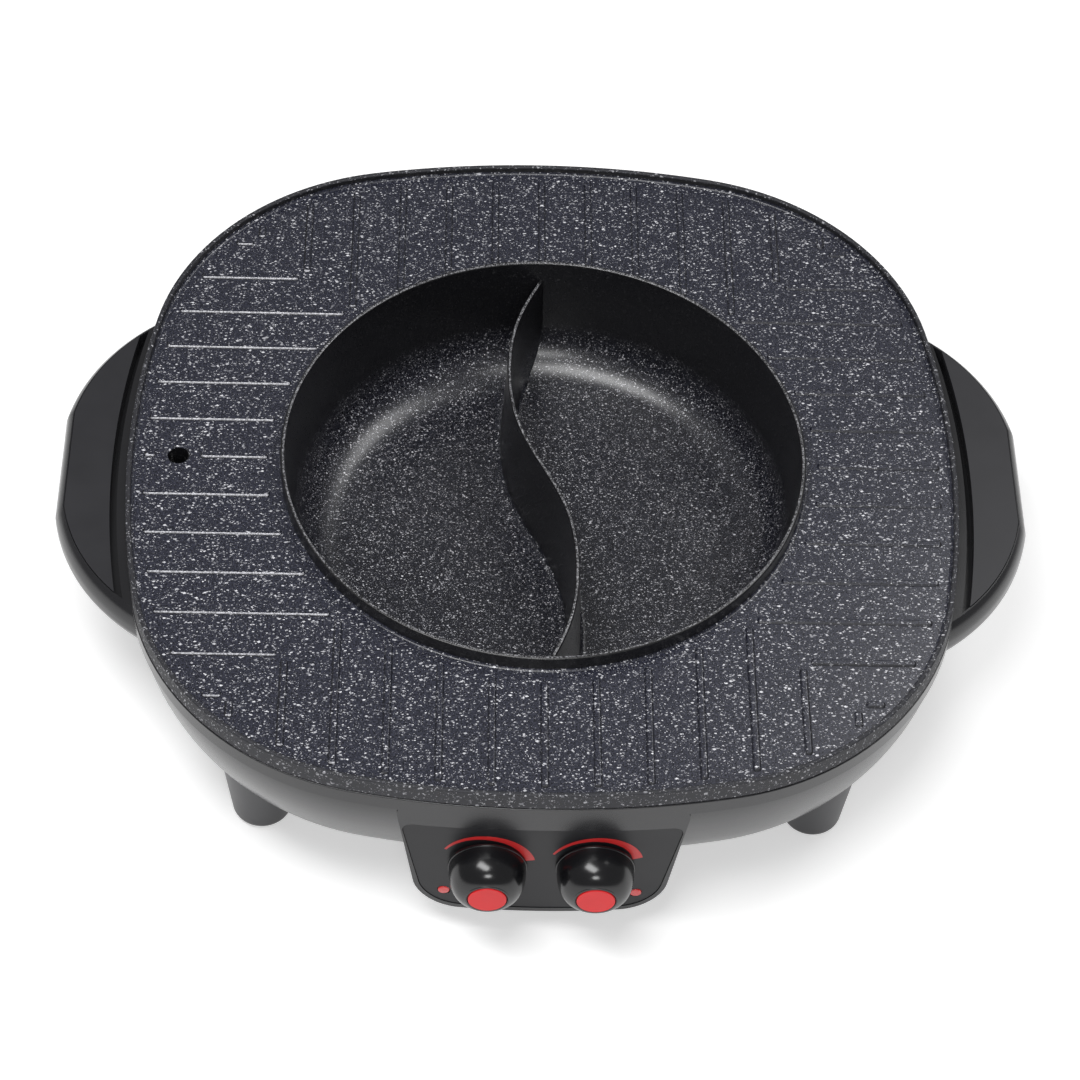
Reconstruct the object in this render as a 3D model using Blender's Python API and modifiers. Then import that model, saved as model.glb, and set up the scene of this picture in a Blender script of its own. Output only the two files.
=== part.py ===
"""Electric hot pot and grill cooker: a cast pan on a moulded base with two heating elements.

Metres, +Z up, the table at z = 0. Someone using the knobs stands at -Y and faces +Y.
"""

import math

import bmesh
import bpy
from mathutils import Matrix, Vector

MM = 0.001

# Clearances and shared sizes
SEAT_GAP = 0.3 * MM
SLIDE_GAP = 0.8 * MM
OVERRUN = 6 * MM
EMBED = 1.2 * MM
WELD_DISTANCE = 0.001 * MM
JOIN_DISTANCE = 0.01 * MM
EDGE_ANGLE = math.radians(40)
SHALLOW_EDGE_ANGLE = math.radians(30)

# Plan outline of the plate: a square of four large side arcs and four corner arcs
PLATE_HALF = 209.5 * MM
SIDE_RADIUS = 480 * MM
CORNER_RADIUS = 139 * MM
SIDE_STEPS = 6
CORNER_STEPS = 7

# Pan levels
PLATE_THICKNESS = 3 * MM
LIP_RISE = 5 * MM
LIP_WIDTH = 2.5 * MM
LIP_FILLET = 0.6 * MM
SKIRT_DROP = 4.7 * MM
SKIRT_WIDTH = 2.3 * MM
SKIRT_FLARE = 0.6 * MM

# Pot well and the raised ring round it
GRILL_WIDTH = 79.1 * MM
WELL_DEPTH = 61 * MM
WELL_WALL = 2.8 * MM
WELL_DRAFT = math.radians(3.5)
WELL_FILLET = 28 * MM
WELL_FILLET_STEPS = 4
RING_RISE = 9 * MM
RING_WIDTH = 2.3 * MM
RING_EDGE = 0.6 * MM

# Divider of the pot
DIVIDER_DROP = 12 * MM
DIVIDER_SWING = 17.9 * MM
DIVIDER_SHARPNESS = 0.05
DIVIDER_TOP_WIDTH = 2.2 * MM
DIVIDER_FOOT_WIDTH = 7 * MM
DIVIDER_STEPS = 22

# Raised grill strips
STRIP_PITCH = 25 * MM
STRIP_WIDTH = 4.1 * MM
STRIP_RISE = 1 * MM
STRIP_RING_MARGIN = 6.5 * MM
STRIP_LIP_MARGIN = 5.5 * MM
STRIP_CORNER_GAP = 2 * MM

# Grease drain
DRAIN_INSET = 25 * MM
DRAIN_RADIUS = 5.2 * MM
DRAIN_MARGIN = 6 * MM
SPOUT_WALL = 2.4 * MM
SPOUT_DROP = 11 * MM
DRAIN_SEGMENTS = 16

# Base housing
BASE_WALL = 2.5 * MM
BAND_PROUD = 1 * MM
BAND_HEIGHT = 8.6 * MM
BAND_EDGE = 0.5 * MM
BAND_STEP = 1.4 * MM
BAND_STEP_HEIGHT = 0.6 * MM
FLANGE_THICKNESS = 2.6 * MM
REBATE_WIDTH = 5.8 * MM
REBATE_DEPTH = 1.4 * MM
BOWL_INSET = 85 * MM
BOWL_FLOOR_SPACE = 12.2 * MM
BOWL_SIDE_POWER = 0.6
BOWL_FLOOR_POWER = 1.25
BOWL_STEPS = 7
BOWL_INNER_STEPS = 4
TABLE_CLEARANCE = 15.3 * MM

# Handle ears
EAR_PROJECTION = 31 * MM
EAR_EDGE_HALF = 31 * MM
EAR_ARC_RADIUS = 104 * MM
EAR_CORNER_ANGLE = math.radians(10.7)
EAR_EMBEDMENT = 23.5 * MM
EAR_STEPS = 7
EAR_DEPTH = 21 * MM
EAR_BULGE = 4.2 * MM
EAR_WALL = 2.6 * MM
EAR_SIDE_SHARES = ((0, 0), (0.14, 0.6), (0.36, 0.95), (0.7, 0.95), (1, 0.25))
SLOT_OFFSET = 4.9 * MM
SLOT_WIDTH = 3.5 * MM
SLOT_DEPTH = 10 * MM
HANDLE_COVER_MARGIN = 0.9 * MM
HANDLE_COVER_THICKNESS = 2.4 * MM
HANDLE_COVER_PROUD = 0.5 * MM

# Control pod and its face plate
PANEL_TOP_HALF = 67.2 * MM
PANEL_TAPER = 11.7 * MM
PANEL_TOP_DROP = 22 * MM
PANEL_ARCH = 3.2 * MM
PANEL_ARCH_RADIUS = 600 * MM
PANEL_FOOT_RISE = 5.7 * MM
PANEL_TOP_CORNER = 5 * MM
PANEL_FOOT_CORNER = 20 * MM
PANEL_THICKNESS = 1.2 * MM
PANEL_INSET = 0.3 * MM
PANEL_GAP = 0.4 * MM
POD_MARGIN = 3.2 * MM
POD_SETBACK = 0.2 * MM
POD_DEPTH = 109.5 * MM

# Knobs, thermostats and lights
KNOB_SPACE = 14.4 * MM
KNOB_DROP = 30.5 * MM
KNOB_RADIUS = 18.6 * MM
KNOB_HEIGHT = 19 * MM
KNOB_DOME_HEIGHT = 24 * MM
KNOB_DOME_STEPS = 5
KNOB_WALL = 2.2 * MM
KNOB_HOLLOW = 10 * MM
KNOB_HUB_RADIUS = 6.8 * MM
KNOB_PANEL_GAP = 0.6 * MM
KNOB_SEGMENTS = 24
CAP_RADIUS = 9.2 * MM
CAP_THICKNESS = 1.9 * MM
CAP_PROUD = 0.4 * MM
SHAFT_RADIUS = 3 * MM
SHAFT_FLAT = 1.9 * MM
SHAFT_ENGAGEMENT = 10.5 * MM
SHAFT_SEGMENTS = 16
BUSH_WALL = 1.75 * MM
NUT_MARGIN = 2.65 * MM
NUT_THICKNESS = 2 * MM
THERMOSTAT_WIDTH = 30 * MM
THERMOSTAT_HEIGHT = 26 * MM
THERMOSTAT_DEPTH = 22 * MM
THERMOSTAT_EDGE = 1.5 * MM
LIGHT_INSET = 20.7 * MM
LIGHT_RISE = 10.5 * MM
LENS_RADIUS = 2.9 * MM
LENS_PROUD = 0.3 * MM
LENS_LENGTH = 7 * MM
LAMP_RADIUS = 2.5 * MM
LAMP_LENGTH = 12 * MM
LIGHT_SEGMENTS = 12

# Heat reflector dish
REFLECTOR_SHEET = 0.8 * MM
REFLECTOR_RIM_GAP = 0.4 * MM
REFLECTOR_LEDGE_DROP = 20 * MM
REFLECTOR_LEDGE_INSET = 11 * MM
REFLECTOR_THROAT_MARGIN = 19.6 * MM
REFLECTOR_TAPER = 10 * MM
STANDOFF_RADIUS = 5 * MM
STANDOFF_MARGIN = 16 * MM
STANDOFF_COUNT = 4
STANDOFF_SEGMENTS = 12

# Heating elements
TUBE_RADIUS = 3.3 * MM
POT_ELEMENT_INSET = 42.4 * MM
POT_ELEMENT_STAND = 10.8 * MM
GRILL_ELEMENT_SHARE = 0.42
ELEMENT_LEG_BELOW = 3 * MM
ELEMENT_LEG_SPREAD = 15 * MM
ELEMENT_BEND_RADIUS = 8 * MM
ELEMENT_STEPS = 36
ELEMENT_LEG_HOLE_GAP = 1.2 * MM
ELEMENT_CLIPS = 4
CLIP_WIDTH = 14 * MM
CLIP_DEPTH = 10 * MM

# Grease tube, drip tray and its rails
GREASE_TUBE_RADIUS = 7 * MM
GREASE_TUBE_WALL = 1.5 * MM
GREASE_CUP_MARGIN = 4.4 * MM
GREASE_CUP_HEIGHT = 6 * MM
GREASE_TUBE_TRAY_GAP = 3.9 * MM
TRAY_OUTER_INSET = 6.5 * MM
TRAY_LENGTH = 46 * MM
TRAY_HALF_WIDTH = 30 * MM
TRAY_HEIGHT = 11 * MM
TRAY_RISE = 0.8 * MM
TRAY_WALL = 1.6 * MM
TRAY_CORNER = 5 * MM
TRAY_FLANGE_WIDTH = 4 * MM
TRAY_FLANGE_THICKNESS = 2 * MM
TRAY_GRIP_WIDTH = 22 * MM
TRAY_GRIP_LENGTH = 4 * MM
RAIL_THICKNESS = 2.4 * MM
RAIL_END_MARGIN = 5 * MM
RAIL_TOP_DROP = 31 * MM

# Feet
FOOT_INSET = 71 * MM
FOOT_RADIUS = 15 * MM
FOOT_TAPER = math.radians(5.5)
FOOT_OVERLAP = 37 * MM
FOOT_EDGE = 5.5 * MM
FOOT_SEGMENTS = 20
FOOT_COUNTERBORE_RADIUS = 5 * MM
FOOT_SCREW_SEAT = 10.5 * MM
SCREW_RADIUS = 1.8 * MM
SCREW_HEAD_MARGIN = 2.4 * MM
SCREW_HEAD_HEIGHT = 2.6 * MM
SCREW_SEGMENTS = 8
SCREW_SLOT_WIDTH = 1.2 * MM
SCREW_SLOT_DEPTH = 1.2 * MM
BOSS_RADIUS = 5 * MM
BOSS_HEIGHT = 12 * MM

# Bottom cover over the service opening
SERVICE_MARGIN = 28.5 * MM
BOTTOM_COVER_OVERLAP = 11 * MM
BOTTOM_COVER_THICKNESS = 2 * MM
BOTTOM_COVER_SEGMENTS = 36
BOTTOM_SCREW_LENGTH = 5.5 * MM
VENT_COUNT = 6
VENT_REACH_SHARE = 0.65
VENT_LENGTH_SHARE = 0.35
VENT_WIDTH = 3.6 * MM

# Power inlet at the back
INLET_BOSS_MARGIN = 12 * MM
INLET_BOSS_TOP_DROP = 11 * MM
INLET_BOSS_HEIGHT = 47 * MM
INLET_BOSS_CORNER = 6 * MM
INLET_WIDTH = 28 * MM
INLET_HEIGHT = 20.5 * MM
INLET_DEPTH = 18 * MM
INLET_CORNER = 5 * MM
INLET_BEZEL = 3 * MM
INLET_BEZEL_THICKNESS = 2 * MM
INLET_WALL = 2 * MM
INLET_CENTRE_DROP = 25 * MM
INLET_PIN_WIDTH = 4 * MM
INLET_PIN_THICKNESS = 2 * MM
INLET_PIN_LENGTH = 15 * MM
INLET_PIN_SPACING = 7 * MM
INLET_PIN_RISE = 2.5 * MM

# Terminal block and thermal fuse
TERMINAL_WIDTH = 34 * MM
TERMINAL_DEPTH = 14 * MM
TERMINAL_HEIGHT = 12 * MM
TERMINAL_INSET = 41.5 * MM
TERMINAL_PLATFORM_RISE = 32.2 * MM
TERMINAL_PLATFORM_MARGIN = 2 * MM
TERMINAL_HOLE_RADIUS = 2.2 * MM
TERMINAL_WAYS = 3
FUSE_RADIUS = 2.2 * MM
FUSE_LENGTH = 16 * MM
FUSE_REACH = 45 * MM
FUSE_SEGMENTS = 12

# Offsets from the plate's outline and radii that follow from the sizes above
WELL_RADIUS = PLATE_HALF - GRILL_WIDTH
DRAIN_REACH = PLATE_HALF - DRAIN_INSET
EAR_REACH = PLATE_HALF + EAR_PROJECTION
EAR_ROOT = PLATE_HALF - EAR_EMBEDMENT
FOOT_REACH = PLATE_HALF - FOOT_INSET
SERVICE_RADIUS = PLATE_HALF - BOWL_INSET - SERVICE_MARGIN
BOWL_EDGE_OFFSET = BAND_PROUD - BAND_STEP
POD_OFFSET = BAND_PROUD - POD_SETBACK
PANEL_FACE_OFFSET = POD_OFFSET - PANEL_INSET
PANEL_BACK_OFFSET = PANEL_FACE_OFFSET - PANEL_THICKNESS
PANEL_SEAT_OFFSET = PANEL_BACK_OFFSET - SEAT_GAP
POD_INNER_OFFSET = PANEL_SEAT_OFFSET - BASE_WALL
SKIRT_INNER_OFFSET = SKIRT_FLARE - SKIRT_WIDTH
REBATE_OFFSET = SKIRT_INNER_OFFSET - SEAT_GAP
REFLECTOR_THROAT_RADIUS = WELL_RADIUS + REFLECTOR_THROAT_MARGIN
LEDGE_WIDTH = PLATE_HALF - REFLECTOR_LEDGE_INSET - REFLECTOR_THROAT_RADIUS
POT_ELEMENT_RADIUS = WELL_RADIUS - POT_ELEMENT_INSET
GRILL_ELEMENT_RADIUS = REFLECTOR_THROAT_RADIUS + LEDGE_WIDTH * GRILL_ELEMENT_SHARE
BUSH_RADIUS = SHAFT_RADIUS + BUSH_WALL
NUT_RADIUS = BUSH_RADIUS + NUT_MARGIN
GREASE_CUP_RADIUS = DRAIN_RADIUS + SPOUT_WALL + GREASE_CUP_MARGIN
SCREW_HEAD_RADIUS = SCREW_RADIUS + SCREW_HEAD_MARGIN
PANEL_FOOT_HALF = PANEL_TOP_HALF - PANEL_TAPER
KNOB_HALF_SPACING = KNOB_RADIUS + KNOB_SPACE / 2
LIGHT_REACH = PANEL_TOP_HALF - LIGHT_INSET

# Levels that follow from the sizes above
DISH_DROP = WELL_DEPTH + WELL_WALL + 2 * TUBE_RADIUS + POT_ELEMENT_STAND + REFLECTOR_SHEET
BOWL_TOP_DROP = SKIRT_DROP + SEAT_GAP + BAND_HEIGHT + BAND_STEP_HEIGHT
BOWL_FLOOR_DROP = DISH_DROP + BOWL_FLOOR_SPACE
BOWL_DEPTH = BOWL_FLOOR_DROP - BOWL_TOP_DROP
PLATE_TOP = BOWL_FLOOR_DROP + TABLE_CLEARANCE
BOWL_FLOOR = TABLE_CLEARANCE
BOWL_TOP = BOWL_FLOOR + BOWL_DEPTH
BAND_FOOT = BOWL_TOP + BAND_STEP_HEIGHT
FLANGE_TOP = BAND_FOOT + BAND_HEIGHT
REBATE_TOP = FLANGE_TOP - REBATE_DEPTH
RECESS_FLOOR = FLANGE_TOP + HANDLE_COVER_PROUD - HANDLE_COVER_THICKNESS - SEAT_GAP
RING_TOP = PLATE_TOP + RING_RISE
WELL_FLOOR = PLATE_TOP - WELL_DEPTH
PANEL_TOP = PLATE_TOP - PANEL_TOP_DROP
PANEL_FOOT = BOWL_FLOOR + PANEL_FOOT_RISE
KNOB_LEVEL = PANEL_TOP - KNOB_DROP
LIGHT_LEVEL = PANEL_FOOT + LIGHT_RISE
LEDGE_TOP = PLATE_TOP - REFLECTOR_LEDGE_DROP
DISH_FLOOR = PLATE_TOP - DISH_DROP
POT_ELEMENT_LEVEL = WELL_FLOOR - WELL_WALL - SEAT_GAP - TUBE_RADIUS
GRILL_ELEMENT_LEVEL = PLATE_TOP - PLATE_THICKNESS - SEAT_GAP - TUBE_RADIUS
TRAY_TOP = BOWL_FLOOR + TRAY_RISE
INLET_BOSS_TOP = PLATE_TOP - INLET_BOSS_TOP_DROP
INLET_CENTRE = INLET_BOSS_TOP - INLET_CENTRE_DROP
TERMINAL_PLATFORM_TOP = BOWL_FLOOR + TERMINAL_PLATFORM_RISE

PARTS_COLLECTION = "hot_pot_grill"
CUTTERS_COLLECTION = "cutters"
QUARTER_TURN = math.pi / 2


# Scene and object helpers

def clear_scene():
    for item in list(bpy.data.objects):
        bpy.data.objects.remove(item, do_unlink=True)


def collection(name):
    found = bpy.data.collections.get(name)
    if found is None:
        found = bpy.data.collections.new(name)
        bpy.context.scene.collection.children.link(found)
    return found


def link(item):
    collection(PARTS_COLLECTION).objects.link(item)
    return item


def as_tool(item):
    """Move an object that only shapes another one into the cutters collection."""
    for home in list(item.users_collection):
        home.objects.unlink(item)
    collection(CUTTERS_COLLECTION).objects.link(item)
    item.hide_render = True
    item.display_type = "WIRE"
    return item


def object_from_bmesh(name, shape):
    mesh = bpy.data.meshes.new(name)
    bmesh.ops.recalc_face_normals(shape, faces=shape.faces)
    shape.to_mesh(mesh)
    shape.free()
    return link(bpy.data.objects.new(name, mesh))


def boolean(target, tool, operation):
    as_tool(tool)
    modifier = target.modifiers.new(operation.lower(), "BOOLEAN")
    modifier.operation = operation
    modifier.solver = "EXACT"
    modifier.object = tool
    return target


def cut(target, tool):
    return boolean(target, tool, "DIFFERENCE")


def join(target, tool):
    return boolean(target, tool, "UNION")


def keep_inside(target, tool):
    return boolean(target, tool, "INTERSECT")


def bevel(item, width, segments=2):
    modifier = item.modifiers.new("edge", "BEVEL")
    modifier.width = width
    modifier.segments = segments
    modifier.limit_method = "ANGLE"
    return item


def smooth(item, angle=EDGE_ANGLE):
    item.data.shade_smooth()
    item.data.set_sharp_from_angle(angle=angle)
    return item


def settle(item):
    """Turn an object's modifiers into plain mesh, so that copies of it can share that mesh."""
    graph = bpy.context.evaluated_depsgraph_get()
    mesh = bpy.data.meshes.new_from_object(item.evaluated_get(graph))
    shape = bmesh.new()
    shape.from_mesh(mesh)
    bmesh.ops.remove_doubles(shape, verts=shape.verts, dist=WELD_DISTANCE)
    bmesh.ops.dissolve_degenerate(shape, edges=shape.edges, dist=WELD_DISTANCE)
    shape.to_mesh(mesh)
    shape.free()
    item.modifiers.clear()
    item.data = mesh
    return item


def copy_of(item, name, turn=0, location=(0, 0, 0)):
    twin = bpy.data.objects.new(name, item.data)
    twin.rotation_euler = (0, 0, turn)
    twin.location = location
    return link(twin)


# Shape helpers

def box(name, low, high):
    shape = bmesh.new()
    bmesh.ops.create_cube(shape, size=1)
    low, high = Vector(low), Vector(high)
    size, middle = high - low, (high + low) / 2
    matrix = Matrix.Translation(middle) @ Matrix.Diagonal((*size, 1))
    bmesh.ops.transform(shape, matrix=matrix, verts=shape.verts)
    return object_from_bmesh(name, shape)


def rod(name, radius, start, end, segments):
    """A cylinder between two points."""
    start, end = Vector(start), Vector(end)
    along = end - start
    turn = Vector((0, 0, 1)).rotation_difference(along).to_matrix().to_4x4()
    shape = bmesh.new()
    size = {"radius1": radius, "radius2": radius, "depth": along.length}
    bmesh.ops.create_cone(shape, cap_ends=True, segments=segments, **size)
    bmesh.ops.transform(shape, matrix=Matrix.Translation((start + end) / 2) @ turn, verts=shape.verts)
    return object_from_bmesh(name, shape)


def posts(name, radius, places, low, high, segments):
    """Upright cylinders at several (x, y) places in one object."""
    shape = bmesh.new()
    size = {"radius1": radius, "radius2": radius, "depth": high - low}
    for x, y in places:
        matrix = Matrix.Translation((x, y, (low + high) / 2))
        bmesh.ops.create_cone(shape, cap_ends=True, segments=segments, matrix=matrix, **size)
    return object_from_bmesh(name, shape)


def turned(name, profile, segments):
    """A profile of (radius, height) points, outer side from top to bottom, turned about Z."""
    mesh = bpy.data.meshes.new(name)
    points = [(radius, 0, height) for radius, height in profile]
    edges = [(index, index + 1) for index in range(len(points) - 1)]
    mesh.from_pydata(points, edges, [])
    item = link(bpy.data.objects.new(name, mesh))
    screw = item.modifiers.new("turn", "SCREW")
    screw.steps = segments
    screw.render_steps = segments
    screw.use_merge_vertices = True
    screw.merge_threshold = JOIN_DISTANCE
    screw.use_smooth_shade = True
    return item


def welded_mesh(item):
    """Make a curve object into a mesh object with its caps welded on, in the curve's place."""
    graph = bpy.context.evaluated_depsgraph_get()
    mesh = bpy.data.meshes.new_from_object(item.evaluated_get(graph))
    shape = bmesh.new()
    shape.from_mesh(mesh)
    bmesh.ops.remove_doubles(shape, verts=shape.verts, dist=JOIN_DISTANCE)
    bmesh.ops.transform(shape, matrix=item.matrix_world, verts=shape.verts)
    name = item.name
    bpy.data.objects.remove(item, do_unlink=True)
    return object_from_bmesh(name, shape)


def plate(name, points, low, high, across="Z"):
    """A flat outline given thickness from low to high: along Z in plan, or along Y for an X-Z outline."""
    curve = bpy.data.curves.new(name, "CURVE")
    curve.dimensions = "2D"
    curve.fill_mode = "BOTH"
    curve.extrude = (high - low) / 2
    spline = curve.splines.new("POLY")
    spline.points.add(len(points) - 1)
    for place, (u, v) in zip(spline.points, points):
        place.co = (u, v, 0, 1)
    spline.use_cyclic_u = True
    item = link(bpy.data.objects.new(name, curve))
    middle = (high + low) / 2
    if across == "Z":
        item.matrix_world = Matrix.Translation((0, 0, middle))
    else:
        item.matrix_world = Matrix.Translation((0, middle, 0)) @ Matrix.Rotation(QUARTER_TURN, 4, "X")
    return welded_mesh(item)


def tube(name, points, radius, rounding=1):
    curve = bpy.data.curves.new(name, "CURVE")
    curve.dimensions = "3D"
    curve.bevel_depth = radius
    curve.bevel_resolution = rounding
    curve.use_fill_caps = True
    spline = curve.splines.new("POLY")
    spline.points.add(len(points) - 1)
    for place, point in zip(spline.points, points):
        place.co = (*point, 1)
    item = link(bpy.data.objects.new(name, curve))
    return welded_mesh(item)


def loft(name, rings, loop=False):
    """Skin a row of rings of equal point count. A loop joins the last ring to the first."""
    shape = bmesh.new()
    rows = [[shape.verts.new(point) for point in ring] for ring in rings]
    pairs = list(zip(rows, rows[1:]))
    if loop:
        pairs.append((rows[-1], rows[0]))
    else:
        shape.faces.new(rows[0])
        shape.faces.new(rows[-1])
    count = len(rows[0])
    for lower, upper in pairs:
        for index in range(count):
            after = (index + 1) % count
            shape.faces.new((lower[index], lower[after], upper[after], upper[index]))
    return object_from_bmesh(name, shape)


def rounded(corners, steps=4):
    """A closed outline from corner points, each given as (x, y, fillet radius)."""
    points = []
    count = len(corners)
    for index, (x, y, radius) in enumerate(corners):
        here = Vector((x, y))
        before = Vector(corners[index - 1][:2])
        after = Vector(corners[(index + 1) % count][:2])
        if radius == 0:
            points.append((x, y))
            continue
        back, ahead = (before - here).normalized(), (after - here).normalized()
        half = back.angle(ahead) / 2
        centre = here + (back + ahead).normalized() * (radius / math.sin(half))
        start, end = here + back * (radius / math.tan(half)), here + ahead * (radius / math.tan(half))
        first, last = start - centre, end - centre
        start_angle = math.atan2(first.y, first.x)
        turn = (math.atan2(last.y, last.x) - start_angle + math.pi) % (2 * math.pi) - math.pi
        points += arc(centre.x, centre.y, radius, start_angle, start_angle + turn, steps)
    return points


def rounded_box(half, low, high, radius):
    """A rounded rectangle about the middle plane, from low to high."""
    return rounded([(-half, low, radius), (half, low, radius), (half, high, radius), (-half, high, radius)])


def arc(centre_u, centre_v, radius, start, end, steps):
    span = end - start
    angles = [start + span * step / steps for step in range(steps + 1)]
    return [(centre_u + radius * math.cos(angle), centre_v + radius * math.sin(angle)) for angle in angles]


# The plate's outline, and circles that line up with it

SIDE_CENTRE = PLATE_HALF - SIDE_RADIUS
CORNER_CENTRE = (
    SIDE_CENTRE + math.sqrt(2 * (SIDE_RADIUS - CORNER_RADIUS) ** 2 - SIDE_CENTRE ** 2)
) / 2
TANGENT_ANGLE = math.atan2(CORNER_CENTRE, CORNER_CENTRE - SIDE_CENTRE)


def outline(offset=0):
    """The rounded square moved outward by offset. Point n has the same normal at every offset."""
    quarter = []
    for step in range(SIDE_STEPS):
        angle = TANGENT_ANGLE * (2 * step / SIDE_STEPS - 1)
        reach = SIDE_RADIUS + offset
        quarter.append((SIDE_CENTRE + reach * math.cos(angle), reach * math.sin(angle)))
    for step in range(CORNER_STEPS):
        angle = TANGENT_ANGLE + (QUARTER_TURN - 2 * TANGENT_ANGLE) * step / CORNER_STEPS
        reach = CORNER_RADIUS + offset
        quarter.append((CORNER_CENTRE + reach * math.cos(angle), CORNER_CENTRE + reach * math.sin(angle)))
    points = []
    for turn in range(4):
        cosine, sine = round(math.cos(turn * QUARTER_TURN)), round(math.sin(turn * QUARTER_TURN))
        points += [(x * cosine - y * sine, x * sine + y * cosine) for x, y in quarter]
    return points


def outline_reach(offset, across):
    """How far the outline reaches in Y at a given X."""
    across = abs(across)
    side = SIDE_RADIUS + offset
    if across <= side * math.sin(TANGENT_ANGLE):
        return SIDE_CENTRE + math.sqrt(side ** 2 - across ** 2)
    corner = CORNER_RADIUS + offset
    return CORNER_CENTRE + math.sqrt(corner ** 2 - (across - CORNER_CENTRE) ** 2)


def square_ring(offset, height):
    return [(x, y, height) for x, y in outline(offset)]


def round_ring(radius, height):
    ring = []
    for x, y in outline():
        scale = radius / math.hypot(x, y)
        ring.append((x * scale, y * scale, height))
    return ring


# Materials

def material(name, colour, roughness, metallic=0.0):
    made = bpy.data.materials.get(name)
    if made is None:
        made = bpy.data.materials.new(name)
        made.use_nodes = True
        shader = made.node_tree.nodes["Principled BSDF"]
        shader.inputs["Base Color"].default_value = (*colour, 1)
        shader.inputs["Roughness"].default_value = roughness
        shader.inputs["Metallic"].default_value = metallic
    return made


def coated_aluminium():
    return material("speckled_non_stick", (0.048, 0.051, 0.066), 0.45)


def gloss_black():
    return material("gloss_black_plastic", (0.012, 0.012, 0.014), 0.18)


def matt_black():
    return material("matt_black_plastic", (0.06, 0.06, 0.066), 0.5)


def knob_red():
    return material("red_cap_plastic", (0.62, 0.035, 0.04), 0.35)


def lens_red():
    return material("red_lens", (0.7, 0.04, 0.04), 0.2)


def bright_steel():
    return material("plated_steel", (0.6, 0.6, 0.6), 0.35, 1.0)


def element_steel():
    return material("element_sheath", (0.16, 0.15, 0.15), 0.45, 1.0)


def white_ceramic():
    return material("terminal_ceramic", (0.78, 0.76, 0.7), 0.5)


def finish(item, made, parent):
    item.data.materials.clear()
    item.data.materials.append(made)
    item.parent = parent
    return item


# Grill pan

def well_wall_radius(height):
    return WELL_RADIUS - math.tan(WELL_DRAFT) * (RING_TOP - height)


def well_profile(thickness):
    """(radius, height) points from the floor to the top of the fillet, offset outward by thickness."""
    centre_height = WELL_FLOOR + WELL_FILLET
    centre_radius = well_wall_radius(centre_height) - WELL_FILLET / math.cos(WELL_DRAFT)
    reach = WELL_FILLET + thickness
    return arc(centre_radius, centre_height, reach, -QUARTER_TURN, -WELL_DRAFT, WELL_FILLET_STEPS)


def pan_shell():
    ring_outer = WELL_RADIUS + RING_WIDTH
    lip_top = PLATE_TOP + LIP_RISE
    skirt_foot = PLATE_TOP - SKIRT_DROP
    underside = PLATE_TOP - PLATE_THICKNESS
    rings = [round_ring(*point) for point in well_profile(0)]
    rings += [
        round_ring(WELL_RADIUS, RING_TOP - RING_EDGE),
        round_ring(WELL_RADIUS + RING_EDGE, RING_TOP),
        round_ring(ring_outer - RING_EDGE, RING_TOP),
        round_ring(ring_outer, RING_TOP - RING_EDGE),
        round_ring(ring_outer, PLATE_TOP + LIP_FILLET),
        round_ring(ring_outer + LIP_FILLET, PLATE_TOP),
        square_ring(-LIP_WIDTH - LIP_FILLET, PLATE_TOP),
        square_ring(-LIP_WIDTH, lip_top - LIP_FILLET),
        square_ring(-LIP_WIDTH + LIP_FILLET, lip_top),
        square_ring(-LIP_FILLET, lip_top),
        square_ring(0, lip_top - LIP_FILLET),
        square_ring(SKIRT_FLARE, skirt_foot),
        square_ring(SKIRT_INNER_OFFSET, skirt_foot),
        square_ring(SKIRT_INNER_OFFSET, underside),
        round_ring(well_wall_radius(underside) + WELL_WALL, underside),
    ]
    rings += [round_ring(*point) for point in reversed(well_profile(WELL_WALL))]
    return loft("grill_pan", rings)


def divider_line(y):
    """The S of the divider: how far it stands from the middle plane at a given Y."""
    phase = math.pi * y / WELL_RADIUS
    return -DIVIDER_SWING * (math.sin(phase) + DIVIDER_SHARPNESS * math.sin(3 * phase))


def divider_ring(width, height):
    reach = WELL_RADIUS + WELL_WALL
    left, right = [], []
    for step in range(DIVIDER_STEPS + 1):
        y = reach * (2 * step / DIVIDER_STEPS - 1)
        slope = (divider_line(y + EMBED) - divider_line(y - EMBED)) / (2 * EMBED)
        normal = Vector((1, -slope)).normalized() * (width / 2)
        x = divider_line(y)
        right.append((x + normal.x, y + normal.y, height))
        left.append((x - normal.x, y - normal.y, height))
    return right + left[::-1]


def divider():
    top = RING_TOP - DIVIDER_DROP
    rings = [
        divider_ring(DIVIDER_FOOT_WIDTH, WELL_FLOOR - EMBED),
        divider_ring(DIVIDER_TOP_WIDTH, top - RING_EDGE),
        divider_ring(DIVIDER_TOP_WIDTH - RING_EDGE, top),
    ]
    wall = loft("divider", rings)
    core_rings = [round_ring(*point) for point in well_profile(EMBED)]
    core_rings.append(round_ring(well_wall_radius(RING_TOP) + EMBED, RING_TOP))
    return keep_inside(wall, loft("well_core", core_rings))


def strip_span(lane):
    """Start and end, from the middle, of the strip that runs outward at a given distance to one side."""
    clear = WELL_RADIUS + RING_WIDTH + STRIP_RING_MARGIN
    start = abs(lane) + STRIP_WIDTH / 2 + STRIP_CORNER_GAP
    if abs(lane) < clear:
        start = max(start, math.sqrt(clear ** 2 - lane ** 2))
    end = outline_reach(-LIP_WIDTH, abs(lane) + STRIP_WIDTH / 2) - STRIP_LIP_MARGIN
    return start, end


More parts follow.
